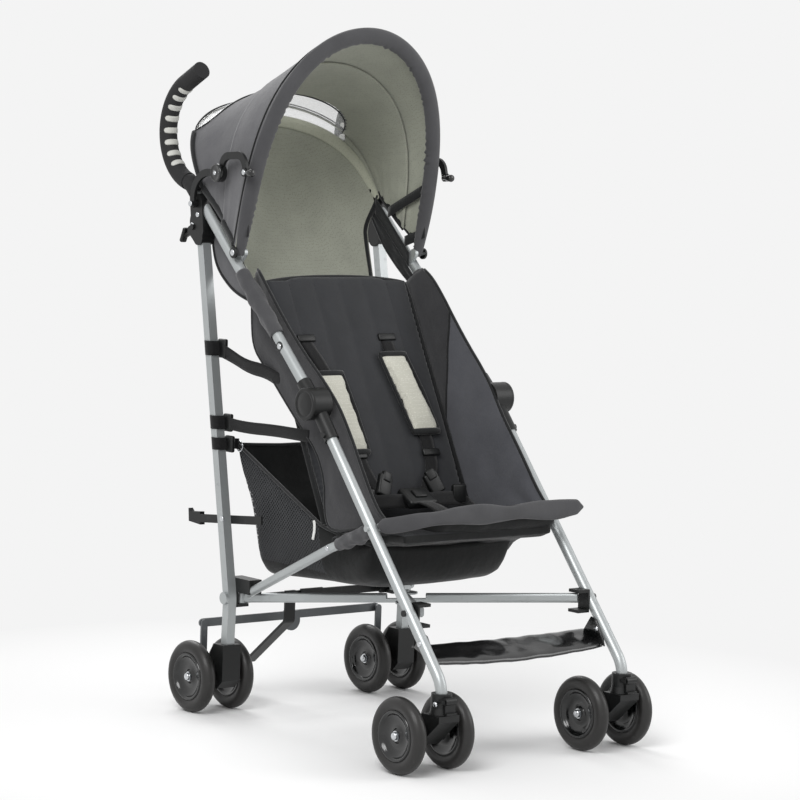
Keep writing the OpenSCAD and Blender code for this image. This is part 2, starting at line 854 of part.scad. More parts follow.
// A closed solid between two grids of points of the same size, with triangular faces
module between_sheets(front, back) {
    rows = len(front);
    cols = len(front[0]);
    points = [for (sheet = [front, back]) for (row = sheet) for (p = row) p];
    all = rows * cols;
    grid = [
        for (i = [0:rows - 2]) for (j = [0:cols - 2]) each [
            [i * cols + j, (i + 1) * cols + j, i * cols + j + 1],
            [(i + 1) * cols + j, (i + 1) * cols + j + 1, i * cols + j + 1]
        ]
    ];
    rim = concat(
        [for (j = [0:cols - 1]) j],
        [for (i = [1:rows - 1]) i * cols + cols - 1],
        [for (j = [cols - 2:-1:0]) (rows - 1) * cols + j],
        [for (i = [rows - 2:-1:1]) i * cols]
    );
    last = len(rim) - 1;
    edge = [
        for (k = [0:last]) let (a = rim[k], b = rim[k == last ? 0 : k + 1]) each [
            [a, b, all + a], [b, all + b, all + a]
        ]
    ];
    polyhedron(points, concat(grid, [for (f = grid) [f.z + all, f.y + all, f.x + all]], edge), convexity = 4);
}

// Canopy: arched ribs, from the front bow back over the rear bow and down behind the child
arch_steps = 20;
arch_share = 0.62;
canopy_half = half + tube_r + canopy_t + cloth_clear;
vent_narrow = 6;
vent_half = canopy_half - vent_narrow;
bow_r = 4;
seam_share = 0.42;
hood_step = 5;
eye_r = 9;
eye_in = 7;
eye_out = 4;
hood_lift = eye_r + soft_gap;
vent_lift = 10;
bow_lift = 6;
bow_gap = 3.3;

// A rib's points: arched from side to side, its foot and its crown given in the side plane
function rib(foot, crown, half_w) = [
    for (k = [0:arch_steps]) let (a = 180 * k / arch_steps, rise = pow(sin(a), arch_share))
        [half_w * cos(a), foot.x + (crown.x - foot.x) * rise, foot.y + (crown.y - foot.y) * rise]
];

canopy_crown = [canopy_top_y, canopy_top_z];
vent_crown = rear_top + [vent_back, vent_rise];
bow_dir = unit(canopy_crown - canopy_pivot);
vent_foot = tube_pass + handle_dir * vent_lift + handle_up * (collar_r + canopy_t + cloth_clear);
crown_dip = 10;
side_dip_share = 0.5;

// Ribs between the front and rear bows, with the cloth's slight dip between them
function between_bows(share, inset, lift = hood_lift) = rib(
    canopy_pivot + bow_dir * lift + (vent_foot - canopy_pivot - bow_dir * lift) * share,
    canopy_crown + (vent_crown - canopy_crown) * share
        + [0, -crown_dip * sin(180 * share)] - bow_dir * inset,
    canopy_half + (vent_half - canopy_half) * share - crown_dip * side_dip_share * sin(180 * share) - inset
);

hood_ribs = 4;
module canopy() {
    shares = [for (i = [0:hood_ribs]) seam_share * i / hood_ribs];
    color("#58585b")
        placed()
            between_sheets([for (s = shares) between_bows(s, canopy_t)], [for (s = shares) between_bows(s, 0)]);
}

// Rear part of the canopy, tucked under the hood, with the panel that drops behind the backrest
vent_ribs = 4;
tuck_share = 0.08;
panel_rows = 6;
panel_skip = 4;
panel_half = half - tube_r - bracket_half;
panel_low_ahead = 35;
panel_low_drop = 110;
panel_low = rear_top - [panel_low_ahead, panel_low_drop];

module canopy_rear() {
    shares = [for (i = [0:vent_ribs]) seam_share - tuck_share + (1 - seam_share + tuck_share) * i / vent_ribs];
    top = between_bows(1, hood_step + canopy_t + soft_gap);
    spread = panel_half / top[panel_skip].x - 1;
    panel = function (ahead) [
        for (i = [0:panel_rows]) let (v = i / panel_rows) [
            for (k = [panel_skip:arch_steps - panel_skip]) let (
                p = [top[k].y, top[k].z],
                q = p + (panel_low - p) * v
            ) [top[k].x * (1 + spread * v), q.x - ahead, q.y]
        ]
    ];
    color("#58585b")
        placed() {
            between_sheets(
                [for (s = shares) between_bows(s, hood_step + canopy_t)], [for (s = shares) between_bows(s, hood_step)]
            );
            between_sheets(panel(canopy_t), panel(0));
        }
}

// Front bow inside the hem, with an eye on each canopy pivot
module canopy_bow() {
    inset = canopy_t + bow_gap + bow_r;
    middle = between_bows(0, inset, bow_lift);
    bow_sides = 8;
    rise = bow_dir;
    ahead = [-rise.y, rise.x];
    rings = [
        for (k = [0:arch_steps]) let (
            p = middle[k],
            out = unit([p.x, rise * ([p.y, p.z] - canopy_pivot)])
        ) [
            for (s = [0:bow_sides]) let (c = bow_r * cos(360 * s / bow_sides), e = bow_r * sin(360 * s / bow_sides))
                [p.x + out.x * c, p.y + rise.x * out.y * c + ahead.x * e, p.z + rise.y * out.y * c + ahead.y * e]
        ]
    ];
    points = [for (ring = rings) for (s = [0:bow_sides - 1]) ring[s]];
    skin = [
        for (k = [0:arch_steps - 1]) for (s = [0:bow_sides - 1]) let (
            a = k * bow_sides + s, b = k * bow_sides + (s + 1) % bow_sides
        ) each [[a, b, a + bow_sides], [b, b + bow_sides, a + bow_sides]]
    ];
    first = [for (s = [1:bow_sides - 2]) [0, s + 1, s]];
    tail = arch_steps * bow_sides;
    last = [for (s = [1:bow_sides - 2]) [tail, tail + s, tail + s + 1]];
    color("#222222")
        placed() {
            polyhedron(points, concat(skin, first, last), convexity = 4);
            for (side = [left, right])
                mirror([side < 0 ? 1 : 0, 0, 0])
                    difference() {
                        cross_rod(canopy_pivot, half + tube_r - eye_in, half + tube_r + eye_out, eye_r);
                        cross_rod(canopy_pivot, half, half + track, pin_r + fit);
                    }
        }
}

// Canopy strut in two curved links with a knob where they meet
knob_fore = 85;
knob_rise = 53;
bow_fore = 71;
bow_rise = 3;
arch_rise = 28;
arch_lean = 8;
arch_bend_r = 20;
knob_at = strut_pivot + [-knob_fore, knob_rise];
strut_end = knob_at + [-bow_fore, bow_rise];
strut_bend_r = 44;
knob_r = 15;
knob_t = 8;

module strut_lower(side) {
    color("#1a1a1a")
        on_side(side)
            difference() {
                union() {
                    translate([strut_face + strut_t / 2, 0, 0])
                        swept([strut_pivot, [strut_pivot.x, knob_at.y], knob_at], [strut_bend_r])
                            strip_profile(strut_w, strut_t);
                    cross_rod(strut_pivot, strut_face, strut_face + strut_t, strut_eye_r);
                    cross_rod(knob_at, strut_face, strut_face + strut_t, strut_eye_r);
                    cross_rod(knob_at, strut_face, strut_face + 2 * strut_t + gap + knob_t, pin_r);
                }
                cross_rod(strut_pivot, strut_face - overrun, strut_face + strut_t + overrun, pin_r + fit);
            }
}

module strut_upper(side) {
    face = strut_face + strut_t + gap;
    color("#1a1a1a")
        on_side(side)
            difference() {
                union() {
                    translate([face + strut_t / 2, 0, 0])
                        swept([
                            knob_at, knob_at + [-arch_lean, arch_rise], strut_end + [arch_lean, arch_rise], strut_end
                        ], [arch_bend_r, arch_bend_r])
                            strip_profile(strut_w, strut_t);
                    cross_rod(knob_at, face, face + strut_t + knob_t, knob_r);
                    cross_rod(strut_end, face, face + strut_t + rivet_t, strut_eye_r);
                }
                cross_rod(knob_at, face - overrun, face + 2 * strut_t + knob_t, pin_r + fit);
            }
}

// Seat pad between the seat tubes, with a crown, drawn-in edges and a hanging front edge; side wings
seat_half = half - seat_tube_inset - seat_tube_r - soft_gap;
seat_cols = 16;
seat_rows = 10;
seat_crown = 9;
apron_drop = 16;
wing_t = 5;
wing_trim = 60;
wing_share = 0.82;
wing_step = 12;
wing_low_y = seat_rear_y + wing_step;
back_e = [sin(back_lean), cos(back_lean)];
back_n = [-cos(back_lean), sin(back_lean)];
back_step = 7.6;
back_base = [seat_rear_y + back_step, seat_rear_z + back_step];
back_half = back_w / 2;

// Height of the pad's underside at a place behind its front edge
function seat_under(y) = seat_front_z - seat_t
    + (seat_rear_z - seat_front_z) * (y - seat_front_y) / (seat_rear_y - seat_front_y);

function swell(t) = 1 - pow(abs(2 * t - 1), 6);

module seat() {
    front = [seat_front_y, seat_front_z];
    rear = [seat_rear_y, seat_rear_z];
    sheet = function (lift, crown) [
        for (i = [0:seat_rows]) let (v = i / seat_rows, drop = apron_drop * pow(max(0, 1 - 4 * v), 2)) [
            for (j = [0:seat_cols]) let (u = j / seat_cols)
                [
                    seat_half * (2 * u - 1), front.x + (rear.x - front.x) * v,
                    front.y + (rear.y - front.y) * v - drop + lift + crown * swell(u) * swell(v)
                ]
        ]
    ];
    wing_face = back_half + soft_gap + gap;
    tube_under = [leg_dir.y, -leg_dir.x] * (tube_r + soft_gap);
    handle_under = [handle_dir.y, -handle_dir.x] * (tube_r + wall + soft_gap);
    wing_top = canopy_pivot + handle_under - handle_dir * wing_trim;
    color("#4c4c50")
        placed() {
            between_sheets(sheet(0, seat_crown), sheet(-seat_t, 0));
            for (side = [left, right])
                mirror([side < 0 ? 1 : 0, 0, 0])
                    side_plate(wing_face, wing_face + wing_t, [
                        seat_joint + tube_under, elbow_at + handle_under, wing_top,
                        back_base + back_e * back_len * wing_share + back_n * 2 * back_t, [wing_low_y, seat_rear_z + wing_t]
                    ]);
        }
}

// Backrest pad with upright sewn channels, on a rod at its foot
back_cols = 36;
back_rows = 10;
back_crown = 6;
channel_depth = 5;
back_rod_r = 5;

module backrest() {
    place = function (u, v, d) let (
        p = back_base + back_e * back_len * v + back_n * d
    ) [back_half * (2 * u - 1), p.x, p.y];
    front = [
        for (i = [0:back_rows]) let (v = i / back_rows) [
            for (j = [0:back_cols]) let (u = j / back_cols)
                place(u, v, back_t / 2 + (back_crown + channel_depth * (sqrt(abs(sin(180 * back_channels * u))) - 1)) * swell(v) * swell(u))
        ]
    ];
    back = [
        for (i = [0:back_rows]) let (v = i / back_rows) [for (j = [0:back_cols]) place(j / back_cols, v, -back_t / 2)]
    ];
    color("#3d3d40")
        placed() {
            between_sheets(front, back);
            cross_rod(back_base - back_e * back_rod_r, -back_half, back_half, back_rod_r);
        }
}

// Harness: shoulder straps with pads, lying on the backrest
strap_x = 72;
strap_w = 25;
strap_t = 2;
pad_w = 56;
pad_t = 11;
pad_low_share = 0.31;
pad_high_share = 0.64;
strap_high_share = 0.74;
strap_low_share = 0.14;

module harness() {
    rest_d = back_t / 2 + back_crown + soft_gap;
    slab = function (low, high, near, far) [
        for (corner = [[low, near], [high, near], [high, far], [low, far]])
            back_base + back_e * back_len * corner.x + back_n * (rest_d + corner.y)
    ];
    color("#cfcdbf")
        placed()
            for (side = [left, right])
                mirror([side < 0 ? 1 : 0, 0, 0]) {
                    side_plate(strap_x - strap_w / 2, strap_x + strap_w / 2,
                        slab(strap_low_share, strap_high_share, 0, strap_t));
                    side_plate(strap_x - pad_w / 2, strap_x + pad_w / 2,
                        slab(pad_low_share, pad_high_share, strap_t, strap_t + pad_t));
                }
}

// Shopping basket: an open bag under the seat
basket_front_y = -96;
basket_front = [basket_front_y, seat_under(basket_front_y) - soft_gap];
basket_mid = [seat_rear_y, seat_rear_z - seat_t - soft_gap];
basket_lip_y = 104;
basket_lip_z = 306;
basket_lip = [basket_lip_y, basket_lip_z];
basket_back_step = 24;
basket_back_z = 440;
basket_back = [rear_low_y + basket_back_step, basket_back_z];
basket_heel_ahead = 28;
basket_heel_rise = 14;
basket_back_low = [rear_low_y - basket_heel_ahead, basket_floor_z + basket_heel_rise];
basket_toe_y = -66;
basket_toe_rise = 6;
basket_toe = [basket_toe_y, basket_floor_z + basket_toe_rise];
basket_t = 3;

module basket() {
    half_w = basket_w / 2;
    lift = [0, basket_t];
    push = [basket_t, 0];
    color("#161617")
        placed()
            difference() {
                side_plate(-half_w, half_w, [
                    basket_front, basket_toe, [0, basket_floor_z], [basket_lip.x, basket_floor_z], basket_back_low,
                    basket_back, basket_back - push, basket_lip, basket_mid
                ]);
                side_plate(-half_w + basket_t, half_w - basket_t, [
                    basket_front + push - lift, basket_toe + push + lift, [0, basket_floor_z] + lift,
                    [basket_lip.x, basket_floor_z] + lift, basket_back_low - push + lift,
                    basket_back - 2 * push, basket_back - 2 * push + lift, basket_lip + 4 * lift, basket_mid + 4 * lift,
                    basket_front + 4 * lift + push
                ]);
            }
}

// Footrest: a sagging band between the front legs, with a bracket at each end
rest_z = 190;
rest_reach = 46.5;
rest_ahead = 5.5;
rest_dip = 20;
rest_back = leg_at(rest_z) + [rest_reach, 0];
rest_front = leg_at(rest_z) - [rest_ahead, rest_dip];
rest_t = 3;
rest_sag = 14;
rest_cols = 16;
rest_rows = 3;
rest_half = half - tube_r - cloth_clear;
bracket_len = 40;

module footrest() {
    across = unit(rest_front - rest_back);
    up = [across.y, -across.x];
    sheet = function (lift) [
        for (i = [0:rest_rows]) let (v = i / rest_rows) [
            for (j = [0:rest_cols]) let (
                u = 2 * j / rest_cols - 1,
                p = rest_front + (rest_back - rest_front) * v - up * (lift + rest_sag * (1 - u * u) * (1 - v))
            ) [rest_half * u, p.x, p.y]
        ]
    ];
    screw = leg_at(rest_z);
    color("#141414")
        placed() {
            between_sheets(sheet(0), sheet(rest_t));
            for (side = [left, right])
                mirror([side < 0 ? 1 : 0, 0, 0]) {
                    translate([rest_half, screw.x, screw.y])
                        rotate([0, 90, 0])
                            cylinder(r = tube_r, h = cloth_clear);
                    side_plate(rest_half - rest_t, rest_half, [
                        rest_front - up * rest_t / 2, rest_back - up * rest_t / 2, screw + [0, bracket_len / 2]
                    ]);
                }
        }
}

wheel(left, true, 1);  // front_left_outer_wheel
wheel(left, true, -1);  // front_left_inner_wheel
wheel(right, true, 1);  // front_right_outer_wheel
wheel(right, true, -1);  // front_right_inner_wheel
wheel(left, false, 1);  // rear_left_outer_wheel
wheel(left, false, -1);  // rear_left_inner_wheel
wheel(right, false, 1);  // rear_right_outer_wheel
wheel(right, false, -1);  // rear_right_inner_wheel
axle(left, true);  // front_left_axle
axle(right, true);  // front_right_axle
axle(left, false);  // rear_left_axle
axle(right, false);  // rear_right_axle
caster_fork(left);  // left_caster_fork
caster_fork(right);  // right_caster_fork
leg_socket(left);  // left_leg_socket
leg_socket(right);  // right_leg_socket
swivel_lock(left);  // left_swivel_lock
swivel_lock(right);  // right_swivel_lock
rear_fork(left);  // left_rear_fork
rear_fork(right);  // right_rear_fork
front_leg(left);  // left_front_leg
front_leg(right);  // right_front_leg
handle_tube(left);  // left_handle_tube
handle_tube(right);  // right_handle_tube
grip(left);  // left_grip
grip(right);  // right_grip
elbow(left);  // left_elbow
elbow(right);  // right_elbow
top_bracket(left);  // left_top_bracket
top_bracket(right);  // right_top_bracket
rear_leg(left);  // left_rear_leg
rear_leg(right);  // right_rear_leg
seat_tube(left);  // left_seat_tube
seat_tube(right);  // right_seat_tube
rear_clevis(left);  // left_rear_clevis
rear_clevis(right);  // right_rear_clevis
front_yoke(left);  // left_front_yoke
front_yoke(right);  // right_front_yoke
x_bar(left);  // left_x_bar
x_bar(right);  // right_x_bar
rear_brace(left);  // left_rear_brace
rear_brace(right);  // right_rear_brace
foot_lever();
brake_link(left);  // left_brake_link
brake_link(right);  // right_brake_link
brake_bar(left);  // left_brake_bar
brake_bar(right);  // right_brake_bar
transport_hook();
canopy();
canopy_rear();
canopy_bow();
strut_lower(left);  // left_strut_lower
strut_lower(right);  // right_strut_lower
strut_upper(left);  // left_strut_upper
strut_upper(right);  // right_strut_upper
seat();
backrest();
harness();
basket();
footrest();
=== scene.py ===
"""Umbrella stroller: soft goods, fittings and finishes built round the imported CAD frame."""
import logging
import math
from dataclasses import dataclass
from enum import Enum
from typing import Callable, Optional, Sequence

import bmesh
import bpy
from mathutils import Matrix, Vector, noise


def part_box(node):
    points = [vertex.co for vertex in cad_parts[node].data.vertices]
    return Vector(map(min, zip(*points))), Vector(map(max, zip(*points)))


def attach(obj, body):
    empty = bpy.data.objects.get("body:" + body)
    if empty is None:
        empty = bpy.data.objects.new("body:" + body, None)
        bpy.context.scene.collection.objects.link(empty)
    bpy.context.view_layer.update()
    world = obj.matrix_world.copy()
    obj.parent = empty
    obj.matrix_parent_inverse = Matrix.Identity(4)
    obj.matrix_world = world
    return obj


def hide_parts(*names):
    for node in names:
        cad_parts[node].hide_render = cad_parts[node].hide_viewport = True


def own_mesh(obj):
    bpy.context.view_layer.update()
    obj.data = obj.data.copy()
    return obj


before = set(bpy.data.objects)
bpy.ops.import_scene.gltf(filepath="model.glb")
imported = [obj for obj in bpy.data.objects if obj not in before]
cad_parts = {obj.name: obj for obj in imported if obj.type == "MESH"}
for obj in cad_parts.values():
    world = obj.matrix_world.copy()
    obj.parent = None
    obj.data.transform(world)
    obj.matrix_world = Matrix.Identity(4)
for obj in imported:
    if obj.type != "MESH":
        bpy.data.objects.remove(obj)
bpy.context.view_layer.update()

LOG = logging.getLogger("stroller")
# Metres in a millimetre, the drawing's unit.
MM = 0.001
# How far the row frame's middle lies behind the wheelbase's middle, in millimetres.
MID_Y = 59.0
# The child's left and right.
SIDES = (1, -1)
# Distance from the middle plane to the tubes of a side frame.
FRAME_X = 186.0
# A rear leg's lower and upper ends in the side plane.
LEG_LOW = (234.0, 196.0)
LEG_TOP = (341.0, 800.0)
# The elbow's knob in the side plane, and how steeply the handle tube climbs from it.
ELBOW = (15.0, 538.0)
HANDLE_SLOPE = 0.9341
Pair = tuple[float, float]
Place = Callable[[float, float], Vector]


def at(x: float, y: float, z: float) -> Vector:
    """Turns a drawing point in millimetres, measured from the wheelbase's middle, into the row frame.

    Args:
        x: Across, to the child's left.
        y: Fore and aft, to the rear.
        z: Height over the floor.

    Returns:
        The same place in metres.
    """
    return Vector((x * MM, (y - MID_Y) * MM, z * MM))


def mix(a: float, b: float, share: float) -> float:
    """Gives the value at a share of the way from a to b."""
    return a + (b - a) * share


def ease(t: float) -> float:
    """Gives a smooth step from 0 to 1."""
    t = min(1.0, max(0.0, t))
    return t * t * (3 - 2 * t)


def along(points: Sequence[Sequence[float]], share: float) -> list[float]:
    """Gives the point at a share of a polyline's length.

    Args:
        points: Corners of the line, of any dimension.
        share: How far along it, from 0 to 1.

    Returns:
        The point's coordinates.
    """
    steps = [math.dist(a, b) for a, b in zip(points, points[1:])]
    left = min(1.0, max(0.0, share)) * sum(steps)
    for a, b, step in zip(points, points[1:], steps):
        if left <= step:
            t = left / step if step else 0.0
            return [mix(p, q, t) for p, q in zip(a, b)]
        left -= step
    return list(points[-1])


def rounded(points: Sequence[Sequence[float]], turns: int = 2) -> list[list[float]]:
    """Rounds a polyline's corners off by cutting them again and again.

    Args:
        points: Corners of the line.
        turns: How many times the corners are cut.

    Returns:
        The longer list of points, with the same ends.
    """
    line = [list(p) for p in points]
    for _ in range(turns):
        cut = [line[0]]
        for a, b in zip(line, line[1:]):
            cut.append([mix(p, q, 0.25) for p, q in zip(a, b)])
            cut.append([mix(p, q, 0.75) for p, q in zip(a, b)])
        line = cut + [line[-1]]
    return line


class Side(Enum):
    """The stroller's two side frames, as the child sits."""

    LEFT = 1
    RIGHT = -1

    @property
    def word(self) -> str:
        """Gives the word that CAD names use."""
        return self.name.lower()

    @property
    def body(self) -> str:
        """Gives the CAD body of this side's frame."""
        return self.word + "_frame"


class Workpiece:
    """A mesh under construction, in metres in the row frame."""

    def __init__(self) -> None:
        """Starts an empty mesh."""
        self.bm = bmesh.new()
        self.bm.loops.layers.uv.verify()

    def _take(self, part: bmesh.types.BMesh, slot: int) -> None:
        """Adds a finished part to the piece.

        Args:
            part: The part's own mesh, which is freed.
            slot: How many material slots its faces move on.
        """
        for face in part.faces:
            face.material_index += slot
        mesh = bpy.data.meshes.new("part")
        part.to_mesh(mesh)
        part.free()
        self.bm.from_mesh(mesh)
        bpy.data.meshes.remove(mesh)

    def turned(self, profile: Sequence[Pair], centre: Vector, axis: Vector, slot: int = 0,
               steps: int = 40) -> None:
        """Turns a profile round an axis.

        Args:
            profile: Radius and distance along the axis, in millimetres.
            centre: Where the distances start.
            axis: The direction of the axis.
            slot: Material slot of the faces.
            steps: Facets round the axis.
        """
        part = bmesh.new()
        closed = profile[0] == profile[-1]
        made = [part.verts.new((r * MM, 0, h * MM)) for r, h in (profile[:-1] if closed else profile)]
        pairs = list(zip(made, made[1:] + (made[:1] if closed else [])))
        edges = [part.edges.new(pair) for pair in pairs]
        bmesh.ops.spin(part, geom=made + edges, cent=(0, 0, 0), axis=(0, 0, 1),
                       angle=2 * math.pi, steps=steps, use_merge=True)
        bmesh.ops.remove_doubles(part, verts=part.verts[:], dist=1e-6)
        bmesh.ops.recalc_face_normals(part, faces=part.faces[:])
        turn = Vector((0, 0, 1)).rotation_difference(axis).to_matrix().to_4x4()
        bmesh.ops.transform(part, matrix=Matrix.Translation(centre) @ turn, verts=part.verts[:])
        self._take(part, slot)

    def plate(self, outline: Sequence[Pair], x_from: float, x_to: float, bevel: float = 0.6,
              slot: int = 0) -> None:
        """Draws a flat plate from its outline in the side plane.

        Args:
            outline: Fore and aft place and height of each corner, in millimetres.
            x_from: One face.
            x_to: The other face.
            bevel: Width of its broken edges.
            slot: Material slot of the faces.
        """
        part = bmesh.new()
        face = part.faces.new([part.verts.new(at(x_from, y, z)) for y, z in outline])
        raised = bmesh.ops.extrude_face_region(part, geom=[face])["geom"]
        lifted = [v for v in raised if isinstance(v, bmesh.types.BMVert)]
        bmesh.ops.translate(part, vec=Vector(((x_to - x_from) * MM, 0, 0)), verts=lifted)
        bmesh.ops.recalc_face_normals(part, faces=part.faces[:])
        rims = [e for e in part.edges if e.calc_face_angle(0) > 0.5]
        bmesh.ops.bevel(part, geom=rims, offset=bevel * MM, affect="EDGES", segments=2,
                        profile=0.5, material=-1)
        self._take(part, slot)

    def block(self, centre: Vector, size: Sequence[float], bevel: float = 1.0,
              turn: Optional[Matrix] = None, slot: int = 0) -> None:
        """Draws a block with rounded edges.

        Args:
            centre: Its middle.
            size: Its three sides in millimetres.
            bevel: Radius of its edges.
            turn: How it is turned about its middle.
            slot: Material slot of the faces.
        """
        part = bmesh.new()
        scale = Matrix.Diagonal((*[s * MM for s in size], 1))
        move = Matrix.Translation(centre) @ (turn.to_4x4() if turn else Matrix.Identity(4))
        bmesh.ops.create_cube(part, size=1, matrix=move @ scale)
        bmesh.ops.bevel(part, geom=part.edges[:], offset=bevel * MM, affect="EDGES", segments=3,
                        profile=0.5, material=-1)
        self._take(part, slot)

    def grid(self, columns: int, rows: int, place: Place, slot: int = 0, merge: bool = False,
             choose: Optional[Callable[[float, float], int]] = None) -> None:
        """Shapes a flat grid of faces into a curved sheet.

        Args:
            columns: Faces along the sheet's first way.
            rows: Faces along its second way.
            place: Where the point at two shares from 0 to 1 lies.
            slot: Material slot of the faces.
            merge: Whether edges that meet are joined, as on a tube.
            choose: Gives the slot of the face at two shares, in place of one slot for all.
        """
        part = bmesh.new()
        part.loops.layers.uv.verify()
        bmesh.ops.create_grid(part, x_segments=columns, y_segments=rows, size=0.5, calc_uvs=True)
        if choose:
            for face in part.faces:
                middle = face.calc_center_median()
                face.material_index = choose(middle.x + 0.5, middle.y + 0.5)
        for vert in part.verts:
            vert.co = place(vert.co.x + 0.5, vert.co.y + 0.5)
        if merge:
            bmesh.ops.remove_doubles(part, verts=part.verts[:], dist=2e-5)
            bmesh.ops.recalc_face_normals(part, faces=part.faces[:])
        self._take(part, slot)

    def tube(self, path: Sequence[Vector], radius: float, slot: int = 0, sides: int = 10,
             flat: float = 1.0) -> None:
        """Lays a tube with closed ends along a path.

        Args:
            path: Points in the row frame.
            radius: Its radius in millimetres.
            slot: Material slot of the faces.
            sides: Facets round it.
            flat: Its thickness as a share of its width.
        """
        last = len(path) - 1
        frames: list[tuple[Vector, Vector]] = []
        side = Vector((0, 0, 1))
        for i in range(last + 1):
            way = (path[min(last, i + 1)] - path[max(0, i - 1)]).normalized()
            side = side - way * side.dot(way)
            if side.length < 1e-4:
                side = way.orthogonal()
            side.normalize()
            frames.append((side.copy(), way.cross(side)))
        rings = [0, *range(last + 1), last]
        count = len(rings) - 1

        def place(u: float, v: float) -> Vector:
            """Puts a point of the tube's skin in place, with both ends drawn to a point."""
            k = round(u * count)
            size = 0.0 if k in (0, count) else radius * MM
            a, b = frames[rings[k]]
            angle = 2 * math.pi * v
            return path[rings[k]] + (a * math.cos(angle) + b * math.sin(angle) * flat) * size

        self.grid(count, sides, place, slot, merge=True)

    def ribbon(self, line: Sequence[Sequence[float]], across: Vector, columns: int, rows: int = 4,
               roll: float = 0.0) -> None:
        """Lays a flat strap along a line.

        Args:
            line: Points of its middle, in drawing millimetres.
            across: The way from its one edge to the other, in millimetres.
            columns: Faces along it.
            rows: Faces across it.
            roll: How far the middle of its run tips over sideways, in millimetres.
        """
        def place(u: float, v: float) -> Vector:
            """Puts a point of the strap in place."""
            tip = Vector((roll * math.sin(math.pi * u), 0, 0))
            return at(*(Vector(along(line, u)) + (across + tip) * (v - 0.5)))

        self.grid(columns, rows, place)

    def rivet(self, place: Vector, axis: Vector, radius: float, height: float, slot: int = 0) -> None:
        """Adds a domed head.

        Args:
            place: The middle of its seat.
            axis: Which way it faces.
            radius: Its radius in millimetres.
            height: Its height in millimetres.
            slot: Its material slot.
        """
        dome = [(radius, -0.6), (radius, 0.25 * height)]
        dome += [(radius * math.cos(math.radians(a)), height * (0.25 + 0.75 * math.sin(math.radians(a))))
                 for a in (20, 40, 60, 78)]
        self.turned(dome + [(0.0, height)], place, axis, slot, 24)

    def piece(self, name: str, finishes: Sequence[bpy.types.Material]) -> bpy.types.Object:
        """Ends the work and puts the piece in the scene.

        Args:
            name: The piece's name.
            finishes: One material for each slot.

        Returns:
            The new object.
        """
        mesh = bpy.data.meshes.new(name)
        self.bm.to_mesh(mesh)
        self.bm.free()
        obj = bpy.data.objects.new(name, mesh)
        bpy.context.scene.collection.objects.link(obj)
        for finish in finishes:
            mesh.materials.append(finish)
        for polygon in mesh.polygons:
            polygon.use_smooth = True
        return obj

    def sheet(self, name: str, finishes: Sequence[bpy.types.Material], depth: float, inner_slot: int = 0,
              offset: float = 0.0) -> bpy.types.Object:
        """Ends the work as a sheet with a thickness.

        Args:
            name: The piece's name.
            finishes: One material for each slot.
            depth: Thickness in millimetres.
            inner_slot: How many slots on the finish of the inner faces is.
            offset: Which side of the drawn surface the thickness lies on, from -1 to 1.

        Returns:
            The new object.
        """
        obj = self.piece(name, finishes)
        solid = obj.modifiers.new("thickness", "SOLIDIFY")
        solid.thickness = depth * MM
        solid.offset = offset
        solid.material_offset = inner_slot
        solid.material_offset_rim = inner_slot
        return obj


def soften(obj: bpy.types.Object) -> None:
    """Rounds a piece with one level of subdivision."""
    smooth = obj.modifiers.new("smooth", "SUBSURF")
    smooth.levels = 1
    smooth.render_levels = 1


def settle(obj: bpy.types.Object) -> None:
    """Applies a piece's modifiers, so that its mesh is final."""
    graph = bpy.context.evaluated_depsgraph_get()
    made = bpy.data.meshes.new_from_object(obj.evaluated_get(graph))
    obj.modifiers.clear()
    obj.data = made


def fasten(obj: bpy.types.Object, body: str, replaced: Sequence[str] = (),
           folds: bool = False) -> bpy.types.Object:
    """Ties a finished piece to its body.

    Args:
        obj: The piece.
        body: The CAD body it moves with.
        replaced: CAD nodes that it stands for.
        folds: Whether it is given a mesh of its own.

    Returns:
        The piece.
    """
    if obj.modifiers:
        settle(obj)
    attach(obj, body)
    if replaced:
        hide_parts(*replaced)
    if folds:
        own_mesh(obj)
    LOG.info("%s rides on %s", obj.name, body)
    return obj


def colour(code: str) -> tuple[float, float, float, float]:
    """Turns a display colour such as #58585b into shader values."""
    parts = [int(code[i:i + 2], 16) / 255 for i in (1, 3, 5)]
    linear = [p / 12.92 if p <= 0.04045 else ((p + 0.055) / 1.055) ** 2.4 for p in parts]
    return (*linear, 1.0)


